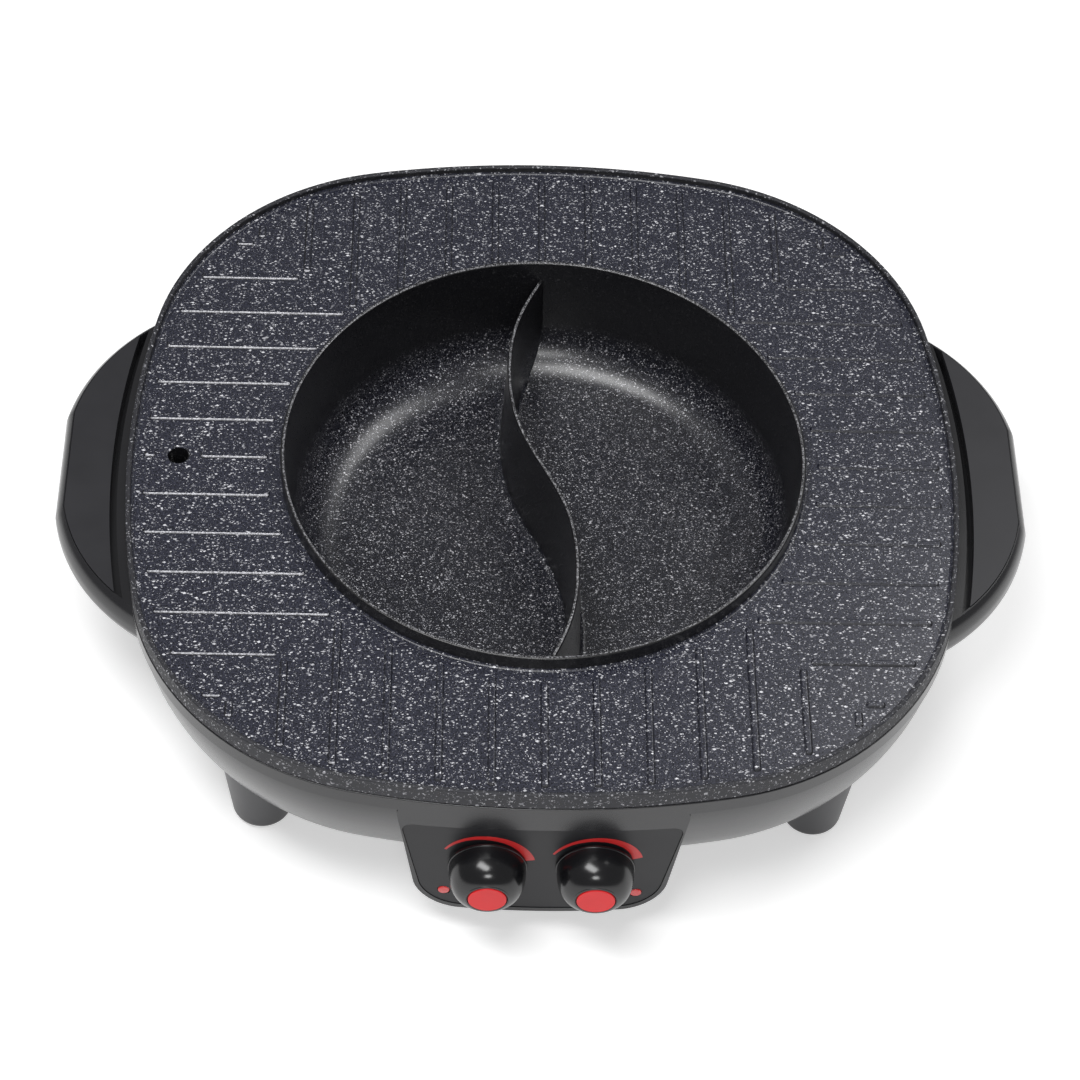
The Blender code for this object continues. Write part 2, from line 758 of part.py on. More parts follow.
def strip_lanes():
    """Where strips lie along a side of the plate: every lane that has room for one longer than wide."""
    corner = CORNER_CENTRE + (CORNER_RADIUS - LIP_WIDTH) * math.sqrt(0.5)
    count = int(corner / STRIP_PITCH)
    lanes = [number * STRIP_PITCH for number in range(-count, count + 1)]
    return [lane for lane in lanes if strip_span(lane)[1] - strip_span(lane)[0] > STRIP_WIDTH]


def grill_strips():
    shape = bmesh.new()
    low, high = PLATE_TOP - EMBED, PLATE_TOP + STRIP_RISE
    for turn in range(4):
        for lane in strip_lanes():
            start, end = strip_span(lane)
            spans = [(start, end)]
            if lane == 0 and turn == 2:
                clear = DRAIN_RADIUS + DRAIN_MARGIN
                spans = [(start, DRAIN_REACH - clear), (DRAIN_REACH + clear, end)]
            for first, last in spans:
                size = Matrix.Diagonal((last - first, STRIP_WIDTH, high - low, 1))
                place = Matrix.Translation(((first + last) / 2, lane, (low + high) / 2))
                matrix = Matrix.Rotation(turn * QUARTER_TURN, 4, "Z") @ place @ size
                bmesh.ops.create_cube(shape, size=1, matrix=matrix)
    return object_from_bmesh("grill_strips", shape)


def grill_pan(parent):
    pan = pan_shell()
    join(pan, grill_strips())
    join(pan, divider())
    top = (-DRAIN_REACH, 0, PLATE_TOP - EMBED)
    foot = (-DRAIN_REACH, 0, PLATE_TOP - PLATE_THICKNESS - SPOUT_DROP)
    join(pan, rod("drain_spout", DRAIN_RADIUS + SPOUT_WALL, foot, top, DRAIN_SEGMENTS))
    above = (-DRAIN_REACH, 0, PLATE_TOP + OVERRUN)
    below = (-DRAIN_REACH, 0, foot[2] - OVERRUN)
    cut(pan, rod("drain_hole", DRAIN_RADIUS, below, above, DRAIN_SEGMENTS))
    smooth(settle(pan))
    return finish(pan, coated_aluminium(), parent)


# Base housing

def bowl_profile(share):
    """(inward, downward) on the bowl's side: share 0 is its top edge and share 1 its floor."""
    angle = QUARTER_TURN * min(max(share, 0), 1)
    inward = BOWL_INSET * (1 - math.cos(angle) ** BOWL_SIDE_POWER)
    return Vector((inward, BOWL_DEPTH * math.sin(angle) ** BOWL_FLOOR_POWER))


def bowl_rings(inset=0, steps=BOWL_STEPS):
    """Rings of the bowl's side from its top edge to its floor, moved inward by inset."""
    nudge = 0.5 / BOWL_STEPS
    rings = []
    for step in range(steps + 1):
        share = step / steps
        along = bowl_profile(share + nudge) - bowl_profile(share - nudge)
        if step == 0:
            along = Vector((0, 1))
        if step == steps:
            along = Vector((1, 0))
        along.normalize()
        inward, downward = bowl_profile(share) + Vector((along.y, -along.x)) * inset
        rings.append(square_ring(BOWL_EDGE_OFFSET - inward, BOWL_TOP - downward))
    return rings


def bowl_solid(name, clearance=0):
    rings = [square_ring(clearance, PLATE_TOP)] + bowl_rings(-clearance)
    return loft(name, rings)


def housing_block():
    """The outside of the band and bowl, still filled."""
    rings = [
        square_ring(BAND_PROUD - BAND_EDGE, FLANGE_TOP),
        square_ring(BAND_PROUD, FLANGE_TOP - BAND_EDGE),
        square_ring(BAND_PROUD, BAND_FOOT),
        square_ring(BOWL_EDGE_OFFSET, BOWL_TOP + BAND_STEP_HEIGHT / 2),
    ]
    return loft("base_housing", rings + bowl_rings())


def housing_hollow():
    rebate_inner = REBATE_OFFSET - REBATE_WIDTH
    flange_under = REBATE_TOP - FLANGE_THICKNESS
    band_inner = BAND_PROUD - BASE_WALL
    rings = [
        square_ring(REBATE_OFFSET, PLATE_TOP),
        square_ring(REBATE_OFFSET, REBATE_TOP),
        square_ring(rebate_inner, REBATE_TOP),
        square_ring(rebate_inner, flange_under),
        square_ring(band_inner, flange_under),
    ]
    return loft("housing_hollow", rings + bowl_rings(BASE_WALL, BOWL_INNER_STEPS)[1:])


def ear_outline(offset, side, root=EAR_ROOT):
    """The D of one handle ear, moved outward by offset, closed inside the housing."""
    centre_x = EAR_REACH - EAR_ARC_RADIUS * math.cos(EAR_CORNER_ANGLE)
    centre_y = EAR_EDGE_HALF - EAR_ARC_RADIUS * math.sin(EAR_CORNER_ANGLE)
    radius = EAR_ARC_RADIUS + offset
    root_angle = math.acos((root - centre_x) / radius)
    upper = arc(centre_x, centre_y, radius, EAR_CORNER_ANGLE, root_angle, EAR_STEPS)
    lower = [(x, -y) for x, y in reversed(upper)]
    return [(side * x, y) for x, y in lower + upper]


def ear_block(side):
    rings = []
    for depth_share, bulge_share in EAR_SIDE_SHARES:
        height = FLANGE_TOP - EAR_DEPTH * depth_share
        rings.append([(x, y, height) for x, y in ear_outline(EAR_BULGE * bulge_share, side)])
    return loft("ear", rings)


def ear_hollow(side):
    """The grip's hollow, open below, which goes round the trough that the slot lies in."""
    ceiling = RECESS_FLOOR - EAR_WALL
    floor = FLANGE_TOP - EAR_DEPTH - OVERRUN
    points = ear_outline(EAR_BULGE / 4 - EAR_WALL, side, EAR_ROOT + EMBED)
    hollow = plate("ear_hollow", points, floor, ceiling)
    trough = outline(SLOT_OFFSET + SLOT_WIDTH + EAR_WALL)
    return cut(hollow, plate("slot_trough", trough, FLANGE_TOP - SLOT_DEPTH - EAR_WALL, FLANGE_TOP))


def outside_slot_plate(name, margin, side, low, high):
    """The part of the ear's flat top that lies outside the slot."""
    top = plate(name, ear_outline(-margin, side), low, high)
    inner = outline(SLOT_OFFSET + SLOT_WIDTH)
    return cut(top, plate(name + "_inner", inner, low - OVERRUN, high + OVERRUN))


def slot_cutter(side):
    low, high = FLANGE_TOP - SLOT_DEPTH, FLANGE_TOP + OVERRUN
    ring = plate("slot", outline(SLOT_OFFSET + SLOT_WIDTH + SEAT_GAP), low, high)
    cut(ring, plate("slot_inner", outline(SLOT_OFFSET), low - OVERRUN, high + OVERRUN))
    ear = plate("slot_limit", ear_outline(-HANDLE_COVER_MARGIN, side), low - OVERRUN, high + OVERRUN)
    return keep_inside(ring, ear)


def panel_outline(margin, top_extra=0):
    """The U of the face plate in X and Z, grown by margin. The top may go up by top_extra more."""
    shoulder = PANEL_TOP - PANEL_ARCH + margin + top_extra
    crown = PANEL_TOP + margin + top_extra
    foot = PANEL_FOOT - margin
    top_half, foot_half = PANEL_TOP_HALF + margin, PANEL_FOOT_HALF + margin
    top_corner, foot_corner = PANEL_TOP_CORNER + margin, PANEL_FOOT_CORNER + margin
    corners = [
        (-foot_half, foot, foot_corner),
        (foot_half, foot, foot_corner),
        (top_half, shoulder, top_corner),
        (0, crown, PANEL_ARCH_RADIUS),
        (-top_half, shoulder, top_corner),
    ]
    return rounded(corners, 5)


def pod_solid(name, points, offset, low, high):
    """A piece behind the X-Z outline, bounded in front by the plate's plan outline."""
    body = plate(name, points, -PLATE_HALF - OVERRUN, -PLATE_HALF + POD_DEPTH, "Y")
    return keep_inside(body, plate(name + "_front", outline(offset), low, high))


def control_pod():
    rise = REBATE_TOP - PANEL_TOP - POD_MARGIN
    return pod_solid("control_pod", panel_outline(POD_MARGIN, rise), POD_OFFSET, 0, REBATE_TOP)


def control_pod_hollow():
    points = panel_outline(POD_MARGIN - BASE_WALL)
    return pod_solid("control_pod_hollow", points, POD_INNER_OFFSET, 0, PLATE_TOP)


def panel_recess():
    points = panel_outline(PANEL_GAP)
    body = plate("panel_recess", points, -PLATE_HALF - OVERRUN, -PLATE_HALF + PANEL_TOP_HALF, "Y")
    return cut(body, plate("panel_seat", outline(PANEL_SEAT_OFFSET), 0, PLATE_TOP))


def inlet_boss():
    top = INLET_BOSS_TOP
    foot = top - INLET_BOSS_HEIGHT
    half, radius = INLET_WIDTH / 2 + INLET_BOSS_MARGIN, INLET_BOSS_CORNER
    points = rounded([(-half, foot, radius), (half, foot, radius), (half, top, 0), (-half, top, 0)])
    body = plate("inlet_boss", points, PLATE_HALF - POD_DEPTH, PLATE_HALF + OVERRUN, "Y")
    return keep_inside(body, plate("inlet_boss_back", outline(POD_OFFSET), 0, PLATE_TOP))


def inlet_boss_hollow():
    top = INLET_BOSS_TOP - BASE_WALL - INLET_BOSS_CORNER
    foot = INLET_BOSS_TOP - INLET_BOSS_HEIGHT + BASE_WALL
    half = INLET_WIDTH / 2 + INLET_BOSS_MARGIN - BASE_WALL
    points = rounded_box(half, foot, top, INLET_BOSS_CORNER - BASE_WALL)
    body = plate("inlet_boss_hollow", points, PLATE_HALF - POD_DEPTH, PLATE_HALF + OVERRUN, "Y")
    return keep_inside(body, plate("inlet_hollow_back", outline(POD_OFFSET - BASE_WALL), 0, PLATE_TOP))


def inlet_points(margin):
    half, rise, radius = INLET_WIDTH / 2 + margin, INLET_HEIGHT / 2 + margin, INLET_CORNER + margin
    return rounded_box(half, INLET_CENTRE - rise, INLET_CENTRE + rise, radius)


def foot_places():
    return [(sx * FOOT_REACH, sy * FOOT_REACH) for sx, sy in ((1, 1), (-1, 1), (-1, -1), (1, -1))]


def foot_boss_level():
    """Height of the bowl's outside over the middle of a foot."""
    from_corner_centre = (FOOT_REACH - CORNER_CENTRE) * math.sqrt(2)
    inward = CORNER_RADIUS + BOWL_EDGE_OFFSET - from_corner_centre
    angle = math.acos((1 - inward / BOWL_INSET) ** (1 / BOWL_SIDE_POWER))
    return BOWL_TOP - BOWL_DEPTH * math.sin(angle) ** BOWL_FLOOR_POWER


def knob_axes():
    return {"pot": -KNOB_HALF_SPACING, "grill": KNOB_HALF_SPACING}


def light_places():
    return {"pot": -LIGHT_REACH, "grill": LIGHT_REACH}


def front_rod(name, radius, x, height, segments):
    """A cutter through the front wall of the control pod."""
    start = (x, -PLATE_HALF - OVERRUN, height)
    end = (x, -PLATE_HALF + PANEL_TOP_HALF / 2, height)
    return rod(name, radius, start, end, segments)


def control_holes(target, clearance):
    bush, light = BUSH_RADIUS + clearance, LENS_RADIUS + clearance
    for name, x in knob_axes().items():
        cut(target, front_rod("bush_hole_" + name, bush, x, KNOB_LEVEL, SHAFT_SEGMENTS))
    for name, x in light_places().items():
        cut(target, front_rod("light_hole_" + name, light, x, LIGHT_LEVEL, LIGHT_SEGMENTS))


def terminal_platform():
    half = TERMINAL_WIDTH / 2 + TERMINAL_PLATFORM_MARGIN
    depth = TERMINAL_DEPTH / 2 + TERMINAL_PLATFORM_MARGIN
    middle = PLATE_HALF - TERMINAL_INSET
    high = (half, middle + depth, TERMINAL_PLATFORM_TOP)
    block = box("terminal_platform", (-half, middle - depth, BOWL_FLOOR), high)
    return keep_inside(block, loft("platform_limit", [square_ring(0, PLATE_TOP)] + bowl_rings(EMBED)))


def base_housing(parent):
    housing = housing_block()
    join(housing, control_pod())
    join(housing, inlet_boss())
    for side in (-1, 1):
        ear = ear_block(side)
        cut(ear, ear_hollow(side))
        join(housing, ear)
    cut(housing, housing_hollow())
    cut(housing, control_pod_hollow())
    cut(housing, inlet_boss_hollow())
    cut(housing, plate("inlet_opening", inlet_points(SEAT_GAP), PLATE_HALF / 2, PLATE_HALF + OVERRUN, "Y"))
    high = FLANGE_TOP + OVERRUN
    for side in (-1, 1):
        cut(housing, slot_cutter(side))
        margin = HANDLE_COVER_MARGIN - SEAT_GAP
        cut(housing, outside_slot_plate("cover_recess", margin, side, RECESS_FLOOR, high))
    cut(housing, panel_recess())
    control_holes(housing, SEAT_GAP)
    join(housing, terminal_platform())
    boss_top = foot_boss_level() + BOSS_HEIGHT
    bosses = posts("foot_bosses", BOSS_RADIUS, foot_places(), BOWL_FLOOR, boss_top, SCREW_SEGMENTS)
    join(housing, keep_inside(bosses, bowl_solid("boss_limit", -EMBED)))
    screw_hole = SCREW_RADIUS + SEAT_GAP
    long_holes = foot_places() + [(side * handle_screw_reach(), 0) for side in (-1, 1)]
    cut(housing, posts("long_screw_holes", screw_hole, long_holes, 0, high, SCREW_SEGMENTS))
    low, top = BOWL_FLOOR - OVERRUN, BOWL_FLOOR + OVERRUN
    cut(housing, posts("service_opening", SERVICE_RADIUS, [(0, 0)], low, top, BOTTOM_COVER_SEGMENTS))
    cut(housing, posts("cover_screw_holes", screw_hole, bottom_screw_places(), low, top, SCREW_SEGMENTS))
    drain = [(-DRAIN_REACH, 0)]
    cut(housing, posts("grease_hole", GREASE_TUBE_RADIUS + SEAT_GAP, drain, 0, LEDGE_TOP, DRAIN_SEGMENTS))
    smooth(settle(housing), SHALLOW_EDGE_ANGLE)
    return finish(housing, gloss_black(), parent)


# Handle covers

def handle_screw_reach():
    slot_outer = PLATE_HALF + SLOT_OFFSET + SLOT_WIDTH
    return (slot_outer + EAR_REACH) / 2


def handle_cover(name, side, parent):
    low = RECESS_FLOOR + SEAT_GAP
    high = low + HANDLE_COVER_THICKNESS
    cover = outside_slot_plate("handle_cover_" + name, HANDLE_COVER_MARGIN, side, low, high)
    x = side * handle_screw_reach()
    start, end = (x, 0, low - OVERRUN), (x, 0, high - HANDLE_COVER_THICKNESS / 3)
    cut(cover, rod("cover_pilot_" + name, SCREW_RADIUS + SEAT_GAP, start, end, SCREW_SEGMENTS))
    settle(cover)
    return finish(cover, matt_black(), parent)


def handle_screws(parent):
    level = RECESS_FLOOR - EAR_WALL - SEAT_GAP
    places = [(side * handle_screw_reach(), 0, level) for side in (-1, 1)]
    screws("handle_screw", EAR_WALL + HANDLE_COVER_THICKNESS / 2, places, parent)


# Screws

def screw_mesh(length):
    """A pan-head screw with its head's under face at z = 0 and its shank up +Z."""
    profile = [
        (0, length),
        (SCREW_RADIUS, length - SCREW_RADIUS),
        (SCREW_RADIUS, 0),
        (SCREW_HEAD_RADIUS, 0),
        (SCREW_HEAD_RADIUS, -SCREW_HEAD_HEIGHT / 2),
        (SCREW_HEAD_RADIUS / 2, -SCREW_HEAD_HEIGHT),
        (0, -SCREW_HEAD_HEIGHT),
    ]
    screw = turned("screw_blank", profile, SCREW_SEGMENTS)
    half = SCREW_SLOT_WIDTH / 2
    low = (-SCREW_HEAD_RADIUS - OVERRUN, -half, -SCREW_HEAD_HEIGHT - OVERRUN)
    high = (SCREW_HEAD_RADIUS + OVERRUN, half, -SCREW_HEAD_HEIGHT + SCREW_SLOT_DEPTH)
    cut(screw, box("screw_slot", low, high))
    return as_tool(smooth(settle(screw)))


def screws(prefix, length, places, parent):
    blank = screw_mesh(length)
    for number, place in enumerate(places, 1):
        finish(copy_of(blank, prefix + "_" + str(number), 0, place), bright_steel(), parent)


def bottom_screw_places():
    reach = (SERVICE_RADIUS + BOTTOM_COVER_OVERLAP / 2) * math.sqrt(0.5)
    return [(reach, reach), (-reach, reach), (-reach, -reach), (reach, -reach)]


# Control parts

def control_face_plate(parent):
    front, back = -PLATE_HALF - OVERRUN, -PLATE_HALF + PANEL_TOP_HALF
    body = plate("control_face_plate", panel_outline(0), front, back, "Y")
    keep_inside(body, plate("panel_face_limit", outline(PANEL_FACE_OFFSET), 0, PLATE_TOP))
    cut(body, plate("panel_back_limit", outline(PANEL_BACK_OFFSET), 0, PLATE_TOP))
    control_holes(body, SEAT_GAP)
    smooth(settle(body), SHALLOW_EDGE_ANGLE)
    return finish(body, matt_black(), parent)


def knob_base_y():
    return -PLATE_HALF - PANEL_FACE_OFFSET - KNOB_PANEL_GAP


def knob_mesh(name):
    """A hollow dome turned about its own axis, back edge at z = 0."""
    dome = []
    for step in range(KNOB_DOME_STEPS + 1):
        height = KNOB_HEIGHT * (1 - step / KNOB_DOME_STEPS)
        dome.append((KNOB_RADIUS * math.sqrt(1 - (height / KNOB_DOME_HEIGHT) ** 2), height))
    seat = CAP_RADIUS + SEAT_GAP
    seat_floor = KNOB_HEIGHT + CAP_PROUD - CAP_THICKNESS - SEAT_GAP
    hub_back = NUT_THICKNESS
    bore = SHAFT_RADIUS + SEAT_GAP
    bore_end = SHAFT_ENGAGEMENT + SEAT_GAP + hub_back
    inner = KNOB_RADIUS - KNOB_WALL
    profile = [(0, seat_floor), (seat, seat_floor), (seat, KNOB_HEIGHT)] + dome + [
        (inner, 0),
        (inner * dome[-4][0] / KNOB_RADIUS, KNOB_HOLLOW),
        (KNOB_HUB_RADIUS, KNOB_HOLLOW),
        (KNOB_HUB_RADIUS, hub_back),
        (bore, hub_back),
        (bore, bore_end),
        (0, bore_end),
    ]
    return smooth(settle(turned(name, profile, KNOB_SEGMENTS)))


def toward_front(item, x, y, height):
    """Stand an object made along +Z so that it points out of the front, along -Y."""
    item.rotation_euler = (QUARTER_TURN, 0, 0)
    item.location = (x, y, height)
    return item


def knob(name, x, parent):
    item = toward_front(knob_mesh("knob_" + name), x, knob_base_y(), KNOB_LEVEL)
    return finish(item, gloss_black(), parent)


def knob_cap(name, x, parent):
    edge = CAP_PROUD
    profile = [
        (0, CAP_THICKNESS),
        (CAP_RADIUS - edge, CAP_THICKNESS),
        (CAP_RADIUS, CAP_THICKNESS - edge),
        (CAP_RADIUS, 0),
        (0, 0),
    ]
    item = smooth(settle(turned("knob_cap_" + name, profile, KNOB_SEGMENTS)))
    y = knob_base_y() - KNOB_HEIGHT - CAP_PROUD + CAP_THICKNESS
    return finish(toward_front(item, x, y, KNOB_LEVEL), knob_red(), parent)


def thermostat_front_y():
    """The body's outer edge rests just behind the pod's curved front wall."""
    return SEAT_GAP - outline_reach(POD_INNER_OFFSET, KNOB_HALF_SPACING + THERMOSTAT_WIDTH / 2)


def nut_face_y():
    """Front face of the face plate at a knob's axis, where the nut sits."""
    return -outline_reach(PANEL_FACE_OFFSET, KNOB_HALF_SPACING)


def thermostat(name, x, parent):
    front = thermostat_front_y()
    half, rise = THERMOSTAT_WIDTH / 2, THERMOSTAT_HEIGHT / 2
    low = (x - half, front, KNOB_LEVEL - rise)
    high = (x + half, front + THERMOSTAT_DEPTH, KNOB_LEVEL + rise)
    body = bevel(box("thermostat_" + name, low, high), THERMOSTAT_EDGE, 1)
    tip = nut_face_y() - SEAT_GAP - NUT_THICKNESS
    middle = (x, front + THERMOSTAT_DEPTH / 2, KNOB_LEVEL)
    join(body, rod("bush_" + name, BUSH_RADIUS, (x, tip, KNOB_LEVEL), middle, SHAFT_SEGMENTS))
    bore = SHAFT_RADIUS + SEAT_GAP
    cut(body, rod("bush_bore_" + name, bore, (x, tip - OVERRUN, KNOB_LEVEL), middle, SHAFT_SEGMENTS))
    settle(body)
    return finish(body, white_ceramic(), parent)


def thermostat_shaft(name, x, parent):
    """The D shaft, made along +Z from its inner end and pointed out of the front."""
    inner = thermostat_front_y() + THERMOSTAT_DEPTH / 2 - SEAT_GAP
    outer = knob_base_y() - NUT_THICKNESS - SHAFT_ENGAGEMENT
    length = inner - outer
    shaft = rod("thermostat_shaft_" + name, SHAFT_RADIUS, (0, 0, 0), (0, 0, length), SHAFT_SEGMENTS)
    low = (SHAFT_FLAT, -SHAFT_RADIUS - OVERRUN, length - SHAFT_ENGAGEMENT)
    high = (SHAFT_RADIUS + OVERRUN, SHAFT_RADIUS + OVERRUN, length + OVERRUN)
    cut(shaft, box("shaft_flat_" + name, low, high))
    smooth(settle(shaft))
    return finish(toward_front(shaft, x, inner, KNOB_LEVEL), bright_steel(), parent)


def thermostat_nut(name, x, parent):
    back = nut_face_y() - SEAT_GAP
    nut = rod("thermostat_nut_" + name, NUT_RADIUS, (0, 0, 0), (0, 0, NUT_THICKNESS), 6)
    start, end = (0, 0, -OVERRUN), (0, 0, NUT_THICKNESS + OVERRUN)
    hole = rod("nut_bore_" + name, BUSH_RADIUS + SEAT_GAP, start, end, SHAFT_SEGMENTS)
    settle(cut(nut, hole))
    return finish(toward_front(nut, x, back, KNOB_LEVEL), bright_steel(), parent)


def light_face_y():
    return -outline_reach(PANEL_FACE_OFFSET, LIGHT_REACH) - LENS_PROUD


def indicator_lens(name, x, parent):
    profile = [
        (0, LENS_LENGTH),
        (LENS_RADIUS - LENS_PROUD, LENS_LENGTH),
        (LENS_RADIUS, LENS_LENGTH - LENS_PROUD),
        (LENS_RADIUS, 0),
        (0, 0),
    ]
    lens = smooth(settle(turned("indicator_lens_" + name, profile, LIGHT_SEGMENTS)))
    return finish(toward_front(lens, x, light_face_y() + LENS_LENGTH, LIGHT_LEVEL), lens_red(), parent)


def indicator_lamp(name, x, parent):
    front = light_face_y() + LENS_LENGTH + SEAT_GAP
    height = LIGHT_LEVEL
    start, end = (x, front, height), (x, front + LAMP_LENGTH, height)
    lamp = bevel(rod("indicator_lamp_" + name, LAMP_RADIUS, start, end, LIGHT_SEGMENTS), LENS_PROUD, 1)
    settle(lamp)
    return finish(lamp, white_ceramic(), parent)


# Heat reflector

def reflector_sheet_rings(lift):
    """Rings of one face of the dish, from rim to floor; lift raises it to the upper face."""
    rim = REBATE_OFFSET - REFLECTOR_RIM_GAP
    wall = rim - REBATE_WIDTH - lift
    seat = REBATE_TOP + SEAT_GAP + lift
    return [
        square_ring(rim, seat),
        square_ring(wall, seat),
        square_ring(-REFLECTOR_LEDGE_INSET - lift, LEDGE_TOP - REFLECTOR_SHEET + lift),
        round_ring(REFLECTOR_THROAT_RADIUS - lift, LEDGE_TOP - REFLECTOR_SHEET + lift),
        round_ring(REFLECTOR_THROAT_RADIUS - REFLECTOR_TAPER - lift, DISH_FLOOR - REFLECTOR_SHEET + lift),
    ]


def element_leg_places(radius):
    """Where an element's two legs go down: either side of the front."""
    half = ELEMENT_LEG_SPREAD
    return [(-half, -math.sqrt(radius ** 2 - half ** 2)), (half, -math.sqrt(radius ** 2 - half ** 2))]


def heat_reflector(parent):
    upper = reflector_sheet_rings(REFLECTOR_SHEET)
    lower = reflector_sheet_rings(0)
    dish = loft("heat_reflector", upper[::-1] + lower)
    gap = TUBE_RADIUS + ELEMENT_LEG_HOLE_GAP
    high = LEDGE_TOP + OVERRUN
    for radius in (POT_ELEMENT_RADIUS, GRILL_ELEMENT_RADIUS):
        for x, y in element_leg_places(radius):
            cut(dish, rod("leg_hole", gap, (x, y, DISH_FLOOR - OVERRUN), (x, y, high), SHAFT_SEGMENTS))
    drain = [(-DRAIN_REACH, 0)]
    tube_gap = GREASE_TUBE_RADIUS + SEAT_GAP
    cut(dish, posts("grease_pass", tube_gap, drain, DISH_FLOOR, high, DRAIN_SEGMENTS))
    smooth(settle(dish))
    return finish(dish, bright_steel(), parent)


def reflector_standoffs(parent):
    low = BOWL_FLOOR + BASE_WALL + SEAT_GAP
    high = DISH_FLOOR - REFLECTOR_SHEET - SEAT_GAP
    reach = SERVICE_RADIUS + STANDOFF_MARGIN
    for number in range(STANDOFF_COUNT):
        angle = 2 * math.pi * (number + 0.5) / STANDOFF_COUNT
        x, y = reach * math.cos(angle), reach * math.sin(angle)
        name = "reflector_standoff_" + str(number + 1)
        post = rod(name, STANDOFF_RADIUS, (x, y, low), (x, y, high), STANDOFF_SEGMENTS)
        finish(post, white_ceramic(), parent)


# Heating elements

def element_path(radius, level, leg):
    """One turn about Z, open at the front, with both ends bent down into legs."""
    right_x, front_y = element_leg_places(radius)[1]
    bend = ELEMENT_BEND_RADIUS
    half_gap = math.atan2(right_x + bend, -front_y)
    start = -QUARTER_TURN + half_gap
    sweep = 2 * math.pi - 2 * half_gap
    turn = [(radius * math.cos(start + sweep * step / ELEMENT_STEPS),
             radius * math.sin(start + sweep * step / ELEMENT_STEPS),
             level) for step in range(ELEMENT_STEPS + 1)]
    corner = bend * (1 - math.sqrt(0.5))
    right = [
        (right_x, front_y, level - leg),
        (right_x, front_y, level - bend),
        (right_x + corner, front_y, level - corner),
    ]
    left = [(-x, y, z) for x, y, z in reversed(right)]
    return right + turn + left


def element_clip(name, angle, radius, floor, level, path, parent):
    """A saddle that stands on the dish and cradles the tube from below."""
    low = floor + SEAT_GAP
    block = box(name, (-CLIP_DEPTH / 2, -CLIP_WIDTH / 2, low), (CLIP_DEPTH / 2, CLIP_WIDTH / 2, level))
    block.rotation_euler = (0, 0, angle)
    block.location = (radius * math.cos(angle), radius * math.sin(angle), 0)
    cut(block, tube(name + "_groove", path, TUBE_RADIUS + SEAT_GAP))
    settle(block)
    return finish(block, bright_steel(), parent)


def heating_element(prefix, radius, level, floor, parent):
    """One tube element whose legs go down through the floor it stands over, and the clips that carry it."""
    path = element_path(radius, level, level - floor + ELEMENT_LEG_BELOW)
    item = smooth(tube(prefix + "_heating_element", path, TUBE_RADIUS))
    finish(item, element_steel(), parent)
    for number in range(ELEMENT_CLIPS):
        angle = QUARTER_TURN + (number + 0.5) * 2 * math.pi / ELEMENT_CLIPS
        element_clip(prefix + "_element_clip_" + str(number + 1), angle, radius, floor, level, path, parent)


# Grease tube, drip tray and rails

def grease_tube(parent):
    seat = LEDGE_TOP + SEAT_GAP
    rim = seat + GREASE_CUP_HEIGHT
    bore = GREASE_TUBE_RADIUS - GREASE_TUBE_WALL
    cup_inner = GREASE_CUP_RADIUS - GREASE_TUBE_WALL
    foot = TRAY_TOP + GREASE_TUBE_TRAY_GAP
    profile = [
        (bore, seat + GREASE_TUBE_WALL),
        (cup_inner, seat + 2 * GREASE_TUBE_WALL),
        (cup_inner, rim),
        (GREASE_CUP_RADIUS, rim),
        (GREASE_CUP_RADIUS, seat),
        (GREASE_TUBE_RADIUS, seat),
        (GREASE_TUBE_RADIUS, foot),
        (bore, foot),
        (bore, seat + GREASE_TUBE_WALL),
    ]
    item = smooth(settle(turned("grease_tube", profile, DRAIN_SEGMENTS)))
    item.location = (-DRAIN_REACH, 0, 0)
    return finish(item, bright_steel(), parent)


def tray_span():
    """X of the tray's outer and inner ends."""
    outer = TRAY_OUTER_INSET - PLATE_HALF
    return outer, outer + TRAY_LENGTH


def drip_tray(parent):
    top, foot = TRAY_TOP, TRAY_TOP - TRAY_HEIGHT
    outer, inner = tray_span()
    half = TRAY_HALF_WIDTH
    middle = (outer + inner) / 2

    def tray_points(margin):
        radius = TRAY_CORNER + margin
        low_x, high_x, y = outer - margin, inner + margin, half + margin
        return rounded([(low_x, -y, radius), (high_x, -y, radius), (high_x, y, radius), (low_x, y, radius)])

    tray = plate("drip_tray", tray_points(0), foot, top)
    reach = half + TRAY_FLANGE_WIDTH
    under = top - TRAY_FLANGE_THICKNESS
    join(tray, box("tray_flange", (outer + TRAY_CORNER, -reach, under), (inner - TRAY_CORNER, reach, top)))
    grip = TRAY_GRIP_WIDTH / 2
    join(tray, box("tray_grip", (outer - TRAY_GRIP_LENGTH, -grip, under), (middle, grip, top)))
    cut(tray, plate("tray_hollow", tray_points(-TRAY_WALL), foot + TRAY_WALL, top + OVERRUN))
    settle(tray)
    move_origin(tray, (outer, 0, foot))
    return finish(tray, matt_black(), parent)


def move_origin(item, place):
    item.data.transform(Matrix.Translation(-Vector(place)))
    item.location = place


